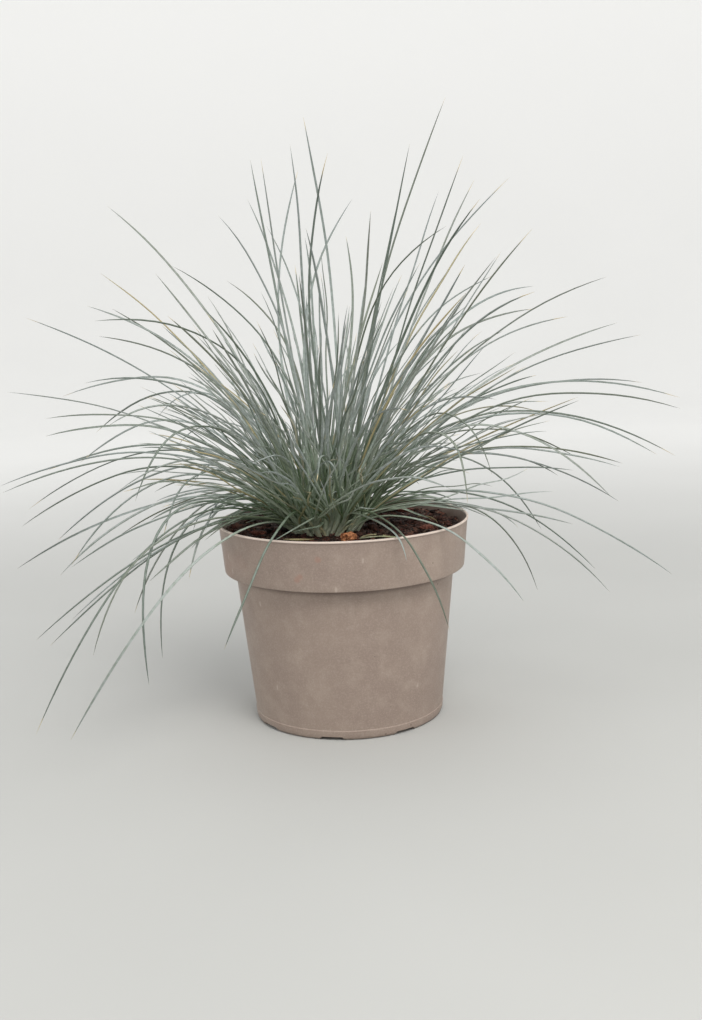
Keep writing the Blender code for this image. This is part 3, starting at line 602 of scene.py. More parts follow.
def new_piece(name, vertices, faces, material, node=None):
    mesh = bpy.data.meshes.new(name)
    mesh.from_pydata([tuple(v) for v in vertices], [], faces)
    mesh.materials.append(material)
    mesh.polygons.foreach_set("use_smooth", [True] * len(mesh.polygons))
    mesh.update()
    piece = bpy.data.objects.new(name, mesh)
    bpy.context.scene.collection.objects.link(piece)
    if node:
        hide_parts(node)
    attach(piece, "root")
    return piece


def point_colours(piece, name, rows):
    layer = piece.data.attributes.new(name, "FLOAT_COLOR", "POINT")
    layer.data.foreach_set("color", np.asarray(rows, dtype=np.float32).ravel())


class Shader:
    # A small helper that wires up one Principled material
    def __init__(self, name, roughness=0.5, specular=0.5):
        self.material = bpy.data.materials.new(name)
        self.material.use_nodes = True
        self.tree = self.material.node_tree
        self.main = self.tree.nodes["Principled BSDF"]
        self.main.inputs["Roughness"].default_value = roughness
        self.main.inputs["Specular IOR Level"].default_value = specular

    def node(self, kind, **settings):
        made = self.tree.nodes.new(kind)
        for key, value in settings.items():
            setattr(made, key, value)
        return made

    def put(self, socket, value):
        if hasattr(value, "is_output"):
            self.tree.links.new(value, socket)
        else:
            socket.default_value = value

    def place(self):
        return self.node("ShaderNodeNewGeometry").outputs["Position"]

    def data(self, name):
        read = self.node("ShaderNodeAttribute", attribute_name=name)
        parts = self.node("ShaderNodeSeparateColor")
        self.put(parts.inputs[0], read.outputs["Color"])
        return [parts.outputs[i] for i in range(3)] + [read.outputs["Alpha"]]

    def math(self, operation, first, second=0.0, third=0.0, clamp=False):
        made = self.node("ShaderNodeMath", operation=operation, use_clamp=clamp)
        for socket, value in zip(made.inputs, (first, second, third)):
            self.put(socket, value)
        return made.outputs[0]

    def ramp(self, value, low, high, to_low=0.0, to_high=1.0):
        made = self.node("ShaderNodeMapRange", interpolation_type="SMOOTHSTEP")
        for key, number in (("From Min", low), ("From Max", high), ("To Min", to_low), ("To Max", to_high)):
            self.put(made.inputs[key], number)
        self.put(made.inputs["Value"], value)
        return made.outputs[0]

    def mix(self, share, first, second, blend="MIX"):
        made = self.node("ShaderNodeMix", data_type="RGBA", blend_type=blend)
        self.put(made.inputs[0], share)
        self.put(made.inputs[6], first)
        self.put(made.inputs[7], second)
        return made.outputs[2]

    def noise(self, scale, detail=3.0, place=None, stretch=None, rough=0.5):
        made = self.node("ShaderNodeTexNoise")
        made.inputs["Scale"].default_value = scale
        made.inputs["Detail"].default_value = detail
        made.inputs["Roughness"].default_value = rough
        place = place or self.place()
        if stretch:
            mapped = self.node("ShaderNodeMapping")
            mapped.inputs["Scale"].default_value = stretch
            self.put(mapped.inputs[0], place)
            place = mapped.outputs[0]
        self.put(made.inputs["Vector"], place)
        return made.outputs["Fac"]

    def cells(self, scale, feature="F1", output="Distance", place=None, random_place=1.0):
        made = self.node("ShaderNodeTexVoronoi", feature=feature)
        made.inputs["Scale"].default_value = scale
        made.inputs["Randomness"].default_value = random_place
        self.put(made.inputs["Vector"], place or self.place())
        return made.outputs[output]

    def spots(self, rows, size, length=1.0):
        # A mask of small marks on the pot, each at its angle and height, with slightly ragged edges
        ragged = self.math("MULTIPLY", self.noise(700, 2.0), 0.5 * size)
        place = self.place()
        mask = 0.0
        for angle, height in rows:
            turn = math.radians(angle)
            spot = (outer_radius(height) * math.cos(turn), outer_radius(height) * math.sin(turn), height)
            away = self.node("ShaderNodeVectorMath", operation="SUBTRACT")
            self.put(away.inputs[0], place)
            self.put(away.inputs[1], spot)
            drawn = self.node("ShaderNodeVectorMath", operation="MULTIPLY")
            self.put(drawn.inputs[0], away.outputs[0])
            self.put(drawn.inputs[1], (1.0, 1.0, 1.0 / length))
            far = self.node("ShaderNodeVectorMath", operation="LENGTH")
            self.put(far.inputs[0], drawn.outputs[0])
            near = self.ramp(self.math("ADD", far.outputs["Value"], ragged), 0.6 * size, 1.3 * size, 1.0, 0.0)
            mask = self.math("MAXIMUM", mask, near)
        return mask

    def bump(self, height, distance, strength=1.0, below=None):
        made = self.node("ShaderNodeBump")
        made.inputs["Strength"].default_value = strength
        made.inputs["Distance"].default_value = distance
        self.put(made.inputs["Height"], height)
        if below:
            self.put(made.inputs["Normal"], below)
        return made.outputs[0]

    def finish(self, colour=None, roughness=None, normal=None):
        for name, value in (("Base Color", colour), ("Roughness", roughness), ("Normal", normal)):
            if value is not None:
                self.put(self.main.inputs[name], value)
        return self.material


# Materials


def grass_material():
    # leaf_data holds the share along the leaf, its tone, its age and the length of its dry tip.
    # leaf_form holds the place across it, metres from its foot, and 1 on its inner face.
    shader = Shader("fescue_blade", specular=0.38)
    along, tone, age, dry = shader.data("leaf_data")
    across, metres, inner, spare = shader.data("leaf_form")
    colour = shader.mix(tone, srgb(104, 116, 104), srgb(172, 179, 179))
    colour = shader.mix(shader.math("MULTIPLY", inner, 0.35), colour, srgb(186, 194, 190))
    upper = shader.mix(1.0, colour, srgb(206, 208, 208), "MULTIPLY")
    colour = shader.mix(shader.ramp(metres, 0.10, 0.26), colour, upper)
    low = shader.ramp(metres, 0.02, 0.11, 1.0, 0.0)
    green = shader.mix(tone, srgb(98, 124, 80), srgb(176, 192, 164))
    colour = shader.mix(shader.math("MULTIPLY", low, 0.75), colour, green)
    sheath = shader.ramp(metres, 0.002, 0.022, 1.0, 0.0)
    colour = shader.mix(shader.math("MULTIPLY", sheath, 0.85), colour, srgb(212, 218, 196))
    mottle = shader.noise(260, 4.0)
    colour = shader.mix(shader.ramp(mottle, 0.35, 0.7), colour,
                        shader.mix(1.0, colour, srgb(222, 226, 218), "MULTIPLY"))
    vein = shader.math("SINE", shader.math("MULTIPLY", across, 44.0))
    colour = shader.mix(shader.ramp(vein, -0.2, 0.9, 0.0, 0.30), colour,
                        shader.mix(1.0, colour, srgb(188, 200, 184), "MULTIPLY"))
    straw = shader.mix(shader.noise(90, 2.0), srgb(200, 188, 138), srgb(160, 138, 96))
    colour = shader.mix(age, colour, straw)
    tip = shader.ramp(shader.math("ADD", along, dry), 0.985, 1.01)
    colour = shader.mix(tip, colour, srgb(196, 180, 140))
    rough = shader.ramp(shader.noise(420, 2.0), 0.3, 0.7, 0.42, 0.60)
    lift = shader.math("ADD", shader.math("MULTIPLY", vein, 0.5), mottle)
    return shader.finish(colour, rough, shader.bump(lift, 0.00006, 0.8))


def pot_material():
    shader = Shader("taupe_plastic", specular=0.4)
    parts = shader.node("ShaderNodeSeparateXYZ")
    place = shader.place()
    shader.put(parts.inputs[0], place)
    height = parts.outputs[2]
    patches = shader.ramp(shader.noise(14, 3.0), 0.35, 0.7)
    colour = shader.mix(patches, srgb(149, 132, 121), srgb(142, 125, 115))
    colour = shader.mix(shader.ramp(shader.noise(70, 4.0, rough=0.65), 0.4, 0.75, 0.0, 0.45), colour,
                        srgb(169, 153, 140))
    red = shader.math("MULTIPLY", shader.ramp(shader.noise(21, 1.0), 0.60, 0.74),
                      shader.ramp(height, 0.10, 0.118))
    colour = shader.mix(shader.math("MULTIPLY", red, 0.25), colour, srgb(166, 128, 114))
    dust = shader.noise(900, 2.0, rough=0.7)
    colour = shader.mix(shader.ramp(dust, 0.42, 0.72, 0.0, 0.24), colour, srgb(190, 176, 164))
    # Painted highlight: the top of the lip is painted much lighter, as light falls on it.
    lip_highlight = shader.ramp(height, RIM_TOP - LIP_HEIGHT, RIM_TOP - 0.4 * LIP_HEIGHT)
    colour = shader.mix(shader.math("MULTIPLY", lip_highlight, 0.75), colour, srgb(222, 206, 194))
    # Painted shade: the pot's inward-facing walls are painted darker, as the leaves and rim shade them.
    inner_wall_shade = shader.node("ShaderNodeVectorMath", operation="DOT_PRODUCT")
    shader.put(inner_wall_shade.inputs[0], shader.node("ShaderNodeNewGeometry").outputs["Normal"])
    shader.put(inner_wall_shade.inputs[1], place)
    colour = shader.mix(shader.ramp(inner_wall_shade.outputs["Value"], -0.06, -0.02, 0.6, 0.0), colour,
                        srgb(112, 92, 82))
    colour = shader.mix(shader.math("MULTIPLY", shader.spots(POT_STAINS, 0.0030), 0.40), colour,
                        srgb(158, 112, 96))
    # Water drops on the pot: the drops are real, and their glints are painted as pale spots.
    colour = shader.mix(shader.math("MULTIPLY", shader.spots(POT_DRIPS, 0.0013, 2.4), 0.40), colour,
                        srgb(196, 180, 168))
    colour = shader.mix(shader.math("MULTIPLY", shader.spots(POT_SPECKS, 0.0007), 0.85), colour,
                        srgb(70, 52, 44))
    # Painted shade: a dark band on the body just below the collar's edge, where the collar shades it.
    collar_shade = shader.math("MULTIPLY", shader.ramp(height, COLLAR_BOTTOM - 0.0060, COLLAR_BOTTOM - 0.0008),
                        shader.ramp(height, COLLAR_BOTTOM - 0.0002, COLLAR_BOTTOM + 0.0002, 1.0, 0.0))
    colour = shader.mix(shader.math("MULTIPLY", collar_shade, 0.70), colour, srgb(84, 66, 57))
    grain = shader.noise(1500, 3.0, rough=0.7)
    wave = shader.noise(55, 2.0)
    rough = shader.ramp(shader.noise(38, 3.0), 0.3, 0.75, 0.44, 0.62)
    normal = shader.bump(grain, 0.00005, 0.7)
    normal = shader.bump(wave, 0.0006, 0.35, normal)
    return shader.finish(colour, rough, normal)


def soil_material():
    shader = Shader("bark_compost", roughness=0.9, specular=0.25)
    coarse = shader.noise(190, 5.0, rough=0.7)
    colour = shader.mix(shader.ramp(coarse, 0.35, 0.7), srgb(34, 22, 19), srgb(72, 52, 44))
    flakes = shader.cells(420, output="Color")
    parts = shader.node("ShaderNodeSeparateColor")
    shader.put(parts.inputs[0], flakes)
    colour = shader.mix(shader.ramp(parts.outputs[0], 0.72, 0.86, 0.0, 0.8), colour, srgb(104, 66, 52))
    colour = shader.mix(shader.ramp(parts.outputs[1], 0.9, 0.97, 0.0, 0.6), colour, srgb(146, 124, 108))
    lift = shader.math("ADD", coarse, shader.cells(420))
    return shader.finish(colour, shader.ramp(coarse, 0.3, 0.7, 0.95, 0.7), shader.bump(lift, 0.0012, 0.9))


def bark_material(name, dark, light, edge):
    # crumb_data holds a crumb's tone, its redness and a random number
    shader = Shader(name, roughness=0.85, specular=0.28)
    tone, red, lot, spare = shader.data("crumb_data")
    fibres = shader.noise(620, 4.0, stretch=(1.0, 1.0, 0.35), rough=0.65)
    colour = shader.mix(tone, dark, light)
    colour = shader.mix(shader.math("MULTIPLY", red, 0.75), colour, edge)
    deep = shader.mix(1.0, colour, srgb(150, 140, 134), "MULTIPLY")
    colour = shader.mix(shader.ramp(fibres, 0.38, 0.66), deep, colour)
    rough = shader.ramp(fibres, 0.3, 0.7, 0.92, 0.68)
    return shader.finish(colour, rough, shader.bump(fibres, 0.0005, 0.9))


def stage_material():
    # Pale paper, lit evenly: the lamps light its middle, and a glow takes over further out
    shader = Shader("pale_paper", roughness=0.85, specular=0.15)
    parts = shader.node("ShaderNodeSeparateXYZ")
    shader.put(parts.inputs[0], shader.place())
    height = shader.ramp(parts.outputs[2], STAGE_LOW, STAGE_HIGH)
    away = shader.node("ShaderNodeVectorMath", operation="LENGTH")
    shader.put(away.inputs[0], shader.place())
    far = shader.ramp(away.outputs["Value"], STAGE_NEAR, STAGE_FAR)
    tint = shader.ramp(shader.noise(3.0, 2.0), 0.3, 0.7)
    colour = shader.mix(tint, srgb(176, 176, 173), srgb(179, 179, 176))
    colour = shader.mix(height, colour, srgb(196, 196, 194))
    shader.main.inputs["Emission Color"].default_value = (1.0, 0.995, 0.985, 1.0)
    shader.put(shader.main.inputs["Emission Strength"], shader.math("MULTIPLY", far, FAR_GLOW))
    return shader.finish(colour)


# Pot


def smooth_profile():
    # The pot's outline, corner by corner, with small rounds where the moulding has them
    lip_bottom = RIM_TOP - LIP_HEIGHT
    lip_inside = RIM_RADIUS - LIP_THICKNESS
    taper_height = RIM_TOP - LIP_TAPER
    outline = [(0.0, 0.0, 0), (BASE_RADIUS, 0.0, BASE_EDGE_ROUND)]
    line = outer_radius(MOULD_LINE_HEIGHT)
    outline += [(line, MOULD_LINE_HEIGHT, 0.0003)]
    outline += [(line - MOULD_LINE_DEPTH, MOULD_LINE_HEIGHT + 0.0004, 0.0003)]
    outline += [(BODY_TOP_RADIUS - 0.0002, COLLAR_BOTTOM + 0.0006, 0.0003)]
    outline += [(COLLAR_BOTTOM_RADIUS, COLLAR_BOTTOM, 0.0008)]
    outline += [(outer_radius(lip_bottom) - 0.0001, lip_bottom + 0.0001, 0.0003)]
    outline += [(RIM_RADIUS, lip_bottom + 0.0004, 0.0004), (RIM_RADIUS - 0.0001, RIM_TOP, 0.0007)]
    outline += [(lip_inside, RIM_TOP, 0.0006), (inside_radius(taper_height), taper_height, 0.002)]
    outline += [(COLLAR_BOTTOM_RADIUS - WALL, COLLAR_BOTTOM + WALL, 0.0008)]
    outline += [(BODY_TOP_RADIUS - WALL, COLLAR_BOTTOM + WALL, 0.0006)]
    outline += [(outer_radius(FLOOR_TOP) - WALL, FLOOR_TOP, 0.0015), (0.0, FLOOR_TOP, 0)]
    rounded = [Vector(outline[0][:2])]
    for before, here, after in zip(outline, outline[1:], outline[2:]):
        spot = Vector(here[:2])
        to_before = Vector(before[:2]) - spot
        to_after = Vector(after[:2]) - spot
        reach = min(here[2], to_before.length * 0.45, to_after.length * 0.45)
        start = spot + to_before.normalized() * reach
        end = spot + to_after.normalized() * reach
        for step in range(5):
            share = step / 4
            rounded.append((1 - share) ** 2 * start + 2 * share * (1 - share) * spot + share ** 2 * end)
    rounded.append(Vector(outline[-1][:2]))
    dense = [rounded[0]]
    for here, after in zip(rounded, rounded[1:]):
        parts = max(1, math.ceil((after - here).length / 0.006))
        dense += [here.lerp(after, part / parts) for part in range(1, parts + 1)]
    return dense


def pot_wobble(angle, height):
    # A thin moulded wall is never quite round: a slow wave, and slight dents in the collar
    up = height / RIM_TOP
    wave = 0.00035 * math.sin(2 * angle + 0.7) * up
    wave += 0.00014 * math.sin(5 * angle + 1.9 + 3 * up)
    return wave + 0.00008 * math.sin(11 * angle - 4 * up)


def make_pot(material):
    profile = smooth_profile()
    shaped = bmesh.new()
    rings = []
    for radius, height in profile:
        if radius < 1e-6:
            rings.append([shaped.verts.new((0, 0, height))])
            continue
        ring = []
        for side in range(POT_SEGMENTS):
            angle = 2 * math.pi * side / POT_SEGMENTS
            wide = radius + pot_wobble(angle, height) * min(1.0, radius / BASE_RADIUS)
            ring.append(shaped.verts.new((wide * math.cos(angle), wide * math.sin(angle), height)))
        rings.append(ring)
    for low, high in zip(rings, rings[1:]):
        for side in range(POT_SEGMENTS):
            following = (side + 1) % POT_SEGMENTS
            corners = [low[side % len(low)], low[following % len(low)], high[following % len(high)],
                       high[side % len(high)]]
            shaped.faces.new(list(dict.fromkeys(corners)))
    bmesh.ops.recalc_face_normals(shaped, faces=shaped.faces)
    mesh = bpy.data.meshes.new("pot_shell")
    shaped.to_mesh(mesh)
    shaped.free()
    pot = bpy.data.objects.new("pot_shell", mesh)
    bpy.context.scene.collection.objects.link(pot)
    cut_base(pot)
    pot.data.materials.clear()
    pot.data.materials.append(material)
    pot.data.polygons.foreach_set("use_smooth", [True] * len(pot.data.polygons))
    pot.data.set_sharp_from_angle(angle=math.radians(50))
    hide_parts("pot")
    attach(pot, "root")
    return pot


def cut_base(pot):
    # The drain channels under the base, with softened roofs, and a round hole through each
    tools = bmesh.new()
    length = BASE_RADIUS + 0.01 - CHANNEL_INNER_RADIUS
    middle = CHANNEL_INNER_RADIUS + length / 2
    for angle in [FRONT_CHANNEL_ANGLE + 2 * math.pi * i / CHANNEL_COUNT for i in range(CHANNEL_COUNT)]:
        turn = Matrix.Rotation(angle, 4, "Z")
        size = Matrix.Diagonal((length, CHANNEL_WIDTH, 2 * CHANNEL_DEPTH, 1))
        made = bmesh.ops.create_cube(tools, size=1.0, matrix=turn @ Matrix.Translation((middle, 0, 0)) @ size)
        upper = [edge for edge in tools.edges if edge.is_valid and set(edge.verts) <= set(made["verts"])
                 and all(vertex.co.z > 0 for vertex in edge.verts)]
        bmesh.ops.bevel(tools, geom=upper, offset=0.0012, segments=3, affect="EDGES")
        bmesh.ops.create_cone(tools, cap_ends=True, segments=28, radius1=DRAIN_HOLE_RADIUS,
                              radius2=DRAIN_HOLE_RADIUS, depth=3 * FLOOR_TOP,
                              matrix=turn @ Matrix.Translation((DRAIN_HOLE_AT, 0, FLOOR_TOP / 2)))
    mesh = bpy.data.meshes.new("base_cutter")
    tools.to_mesh(mesh)
    tools.free()
    cutter = bpy.data.objects.new("base_cutter", mesh)
    bpy.context.scene.collection.objects.link(cutter)
    cut = pot.modifiers.new("base", "BOOLEAN")
    cut.operation = "DIFFERENCE"
    cut.solver = "EXACT"
    cut.use_self = True
    cut.object = cutter
    shaped = bpy.data.meshes.new_from_object(pot.evaluated_get(bpy.context.evaluated_depsgraph_get()))
    pot.modifiers.clear()
    pot.data = shaped
    bpy.data.objects.remove(cutter, do_unlink=True)


# Soil, crumbs and bark


def soil_top(x, y):
    spot = Vector((x, y, 0.0))
    rough = noise.fractal(spot * 160, 0.7, 2.1, 4)
    lumps = noise.noise(spot * 420)
    return soil_height(x, y) + 0.0007 * rough + 0.0004 * lumps


def make_soil(material):
    step = COLLAR_BOTTOM + WALL
    bottom = FLOOR_TOP + GAP
    edge = inside_radius(SOIL_TOP) - GAP
    outline = [(0.0, bottom), (inside_radius(bottom) - GAP, bottom)]
    outline += [(BODY_TOP_RADIUS - WALL - GAP, step), (BODY_TOP_RADIUS - WALL - GAP, step + GAP)]
    outline += [(COLLAR_BOTTOM_RADIUS - WALL - GAP, step + GAP), (edge, SOIL_TOP - 0.004)]
    vertices = []
    rings = []
    for radius, height in outline:
        rings.append((len(vertices), 1 if radius < 1e-6 else SOIL_SEGMENTS))
        for side in range(rings[-1][1]):
            angle = 2 * math.pi * side / SOIL_SEGMENTS
            vertices.append((radius * math.cos(angle), radius * math.sin(angle), height))
    for ring in range(SOIL_GRID_RINGS, -1, -1):
        rings.append((len(vertices), SOIL_SEGMENTS if ring else 1))
        for side in range(rings[-1][1]):
            angle = 2 * math.pi * side / SOIL_SEGMENTS
            radius = edge * ring / SOIL_GRID_RINGS
            x = radius * math.cos(angle)
            y = radius * math.sin(angle)
            vertices.append((x, y, soil_top(x, y)))
    faces = []
    for (low, low_count), (high, high_count) in zip(rings, rings[1:]):
        for side in range(SOIL_SEGMENTS):
            following = (side + 1) % SOIL_SEGMENTS
            corners = (low + side % low_count, low + following % low_count, high + following % high_count,
                       high + side % high_count)
            faces.append(tuple(dict.fromkeys(corners)))
    return new_piece("compost", vertices, faces, material, "soil")


def lump(lot, size, fine, rough):
    # One irregular crumb or flake about its own middle
    shaped = bmesh.new()
    bmesh.ops.create_icosphere(shaped, subdivisions=fine, radius=0.5)
    shift = Vector((lot.uniform(-50, 50), lot.uniform(-50, 50), lot.uniform(-50, 50)))
    for vertex in shaped.verts:
        away = vertex.co.normalized()
        swell = 1.0 + rough * noise.noise(away * 1.7 + shift) + 0.5 * rough * noise.noise(away * 4.1 - shift)
        box = Vector(math.copysign(abs(part) ** 0.72, part) for part in away)
        spot = box * 0.5 * swell
        vertex.co = Vector((spot.x * size[0], spot.y * size[1], spot.z * size[2]))
    vertices = [vertex.co.copy() for vertex in shaped.verts]
    faces = [tuple(vertex.index for vertex in face.verts) for face in shaped.faces]
    shaped.free()
    return vertices, faces


def make_crumbs(material, feet):
    # Crumbs and flakes of bark, and a few long fibres, all over the compost
    lot = random.Random(SEED + 7)
    edge = inside_radius(SOIL_TOP) - 0.0012
    vertices = []
    faces = []
    rows = []
    placed = 0
    while placed < CRUMBS + FIBRES:
        radius = edge * math.sqrt(lot.random())
        angle = lot.uniform(0, 2 * math.pi)
        x = radius * math.cos(angle)
        y = radius * math.sin(angle)
        fibre = placed >= CRUMBS
        length = lot.uniform(0.006, 0.015) if fibre else min(0.0095, 0.0016 + lot.expovariate(1 / 0.0017))
        stem = min(math.hypot(x - foot.x, y - foot.y) for foot in feet)
        if stem < 0.0022 + 0.5 * length or radius + 0.5 * length > edge:
            continue
        flake = lot.random() < 0.35
        if fibre:
            size = (length, lot.uniform(0.0007, 0.0015), lot.uniform(0.0004, 0.0008))
        elif flake:
            size = (length, length * lot.uniform(0.35, 0.6), length * lot.uniform(0.14, 0.25))
        else:
            size = (length, length * lot.uniform(0.6, 0.95), length * lot.uniform(0.45, 0.7))
        spots, rims = lump(lot, size, 1, 0.55)
        tilt = lot.gauss(0, 0.10 if fibre else 0.3)
        turn = Matrix.Rotation(lot.uniform(0, 2 * math.pi), 3, "Z") @ Matrix.Rotation(tilt, 3, "Y")
        seat = Vector((x, y, soil_top(x, y) + size[2] * lot.uniform(0.0, 0.30)))
        start = len(vertices)
        turned_spots = [turn @ spot + seat for spot in spots]
        if max(spot.z for spot in turned_spots) > RIM_TOP - 0.002:
            continue
        vertices += turned_spots
        faces += [tuple(start + index for index in rim) for rim in rims]
        tone = lot.random() ** 2
        red = lot.random() if flake or fibre else lot.random() ** 3
        rows += [(tone, red, lot.random(), 1.0)] * len(spots)
        placed += 1
    piece = new_piece("bark_crumbs", vertices, faces, material)
    point_colours(piece, "crumb_data", rows)


def make_loose_bark(clod_material, chip_material):
    for number, (name, x, y, size, _) in enumerate(LOOSE_BARK):
        lot = random.Random(SEED + 50 + number)
        clod = name == "bark_clod"
        turn = Matrix.Rotation(lot.uniform(0, math.pi), 3, "Z")
        spots, faces = lump(lot, size, 5 if clod else 4, 0.30 if clod else 0.22)
        shaped = []
        for spot in spots:
            grain = noise.noise(spot * 900) * 0.00045 + noise.noise(spot * 2300) * 0.0002
            shaped.append(turn @ (spot + spot.normalized() * grain))
        reach = max(math.hypot(spot.x, spot.y) for spot in shaped)
        lowest = min(spot.z for spot in shaped)
        seat = Vector((x, y, highest_soil(x, y, reach) + GAP - lowest))
        shaped = [spot + seat for spot in shaped]
        piece = new_piece(name + "_rough", shaped, faces, clod_material if clod else chip_material, name)
        point_colours(piece, "crumb_data", [(0.5, 0.5, 0.5, 1.0)] * len(shaped))


# Grass


def along_path(sheath, blade, leave):
    # A leaf's own path: up inside its sheath, then out along its blade, with the turn eased
    foot, mouth = (np.array(tuple(spot)) for spot in sheath)
    middle, tip = (np.array(tuple(spot)) for spot in blade)
    axis = (mouth - foot) / np.linalg.norm(mouth - foot)
    start = foot - axis * SHEATH_DEPTH
    inside = np.linspace(0, 1, 10)[:, None]
    lower = start + (foot + (mouth - foot) * leave - start) * inside
    bend = 2 * middle - (mouth + tip) / 2
    share = np.linspace(0.04, 1.0, 60)[:, None]
    upper = (1 - share) ** 2 * mouth + 2 * share * (1 - share) * bend + share ** 2 * tip
    path = np.concatenate([lower, upper])
    for _ in range(10):
        eased = path.copy()
        eased[1:-1] = 0.25 * path[:-2] + 0.5 * path[1:-1] + 0.25 * path[2:]
        path[4:24] = eased[4:24]
    return path


def spaced(path, rings, power):
    # The path again as rings, closer together near the base
    lengths = np.concatenate([[0], np.cumsum(np.linalg.norm(np.diff(path, axis=0), axis=1))])
    places = np.linspace(0, 1, rings) ** power * lengths[-1]
    return np.stack([np.interp(places, lengths, path[:, k]) for k in range(3)], axis=1), places


def leaf_mesh(path, places, heading, sheath_length, radius, width, lot, twist,
              tip_width=LEAF_TIP_SHARE):
    # Eight points round each ring: a tube wall while in the sheath, then a folded, keeled blade
    count = len(path)
    along = np.gradient(path, axis=0)
    along /= np.linalg.norm(along, axis=1)[:, None]
    side = np.cross((0.0, 0.0, 1.0), heading)
    keel = np.cross(side, along)
    keel /= np.linalg.norm(keel, axis=1)[:, None]
    share = places / places[-1]
    turn = twist * np.clip(share - 0.12, 0, 1)
    across = np.cross(along, keel)
    keel, across = (keel * np.cos(turn)[:, None] + across * np.sin(turn)[:, None],
                    across * np.cos(turn)[:, None] - keel * np.sin(turn)[:, None])
    free = np.clip((places - sheath_length * 0.8) / SHEATH_OPENS, 0, 1)
    free = (free * free * (3 - 2 * free))[:, None]
    angles = np.radians([112, 60, 0, -60, -112, -60, 0, 60])
    layers = radius + SHEATH_WALL * np.array([0, -1, -1, -1, 0, 1, 1, 1])
    tube_across = layers * np.sin(angles)
    tube_keel = layers * np.cos(angles)
    thin = 1 - (1 - tip_width) * share ** 2.6
    taper = np.clip((1 - share) / 0.12, 0, 1) ** 0.6
    half = 0.5 * width * thin * np.maximum(taper, 0.06)
    swell = 1 + 0.05 * np.sin(share * lot.uniform(9, 16) + lot.uniform(0, 6))
    half = (half * swell)[:, None]
    blade_across = half * np.array([1.0, 0.52, 0.0, -0.52, -1.0, -0.78, 0.0, 0.78])
    blade_keel = half * np.array([-0.42, -0.08, 0.22, -0.08, -0.42, 0.30, 0.86, 0.30])
    ring_across = tube_across * (1 - free) + blade_across * free
    ring_keel = tube_keel * (1 - free) + blade_keel * free
    vertices = (path[:, None, :] + across[:, None, :] * ring_across[:, :, None]
                + keel[:, None, :] * ring_keel[:, :, None]).reshape(-1, 3)
    faces = []
    for ring in range(count - 1):
        for point in range(8):
            following = (point + 1) % 8
            low = ring * 8
            faces.append((low + point, low + following, low + 8 + following, low + 8 + point))
    faces.append(tuple(range(7, -1, -1)))
    faces.append(tuple(range(8 * (count - 1), 8 * count)))
    form = np.zeros((count, 8, 4))
    form[:, :, 0] = np.array([0.0, 0.25, 0.5, 0.75, 1.0, 0.75, 0.5, 0.25])
    form[:, :, 1] = places[:, None]
    form[:, 1:4, 2] = 1.0
    form[:, :, 3] = 1.0
    return vertices, faces, share, form.reshape(-1, 4)


def sway(path, lot, most):
    # Slow, slight bends that no two leaves share
    lengths = np.linspace(0, 1, len(path))
    moved = path.copy()
    for axis in range(3):
        bends = lot.uniform(1.2, 3.2)
        phase = lot.uniform(0, 6.3)
        grow = np.clip((lengths - 0.2) / 0.5, 0, 1) * (1 - 0.6 * lengths)
        moved[:, axis] += most * grow * np.sin(2 * math.pi * bends * lengths + phase)
    return moved


class Tuft:
    # The leaves of one tiller, gathered into one mesh
    def __init__(self):
        self.vertices = []
        self.faces = []
        self.data = []
        self.form = []

    def add(self, made, tone, age, dry):
        vertices, faces, share, form = made
        start = sum(len(rows) for rows in self.vertices)
        self.vertices.append(vertices)
        self.faces += [tuple(start + index for index in face) for face in faces]
        rows = np.zeros((len(share), 8, 4))
        rows[:, :, 0] = share[:, None]
        rows[:, :, 1] = tone
        rows[:, :, 2] = age
        rows[:, :, 3] = dry
        self.data.append(rows.reshape(-1, 4))
        self.form.append(form)

    def piece(self, name, material, node):
        made = new_piece(name, np.concatenate(self.vertices), self.faces, material, node)
        point_colours(made, "leaf_data", np.concatenate(self.data))
        point_colours(made, "leaf_form", np.concatenate(self.form))
        return made


def filler_leaf(foot, lot, spread):
    # A thinner leaf among the others: short and steep in the middle, arching at the edge
    out = foot - CROWN
    share = math.hypot(out.x, out.y) / CROWN_RADIUS
    heading = math.atan2(out.y, out.x) + lot.gauss(0.0, 0.7) * spread
    lean = math.radians(5 + 44 * share + lot.gauss(0.0, 9))
    length = lot.uniform(FILLER_SHORTEST, FILLER_LONGEST)
    droop = math.radians(lot.uniform(4, 30) + 40 * share * lot.random())
    lean = max(math.radians(2), lean)
    first = way(heading) * math.sin(lean) + Vector((0, 0, math.cos(lean)))
    last = way(heading + lot.gauss(0.0, 0.15)) * math.sin(lean + droop)
    last += Vector((0, 0, math.cos(lean + droop)))
    start = foot + first * LEAF_START
    bend = start + first * length * 0.5
    tip = bend + last * length * 0.5
    return (start + 2 * bend + tip) / 4, tip


def add_fillers(sheaths, blades):
    # Extra leaves that clear the pot and the bark
    lot = random.Random(SEED + 1)
    fillers = [[] for _ in sheaths]
    for wanted in range(FILLERS_A_TILLER):
        for i, (foot, mouth) in enumerate(sheaths):
            if not blades[i]:
                continue
            for attempt in range(12):
                middle, tip = filler_leaf(foot, lot, 1 + attempt / 10)
                points = blade_points(mouth, (middle, tip))
                if within_thick(tip) and clears_pot(mouth, middle, tip) and clears_bark(points):
                    fillers[i].append((middle, tip))
                    break
    return fillers


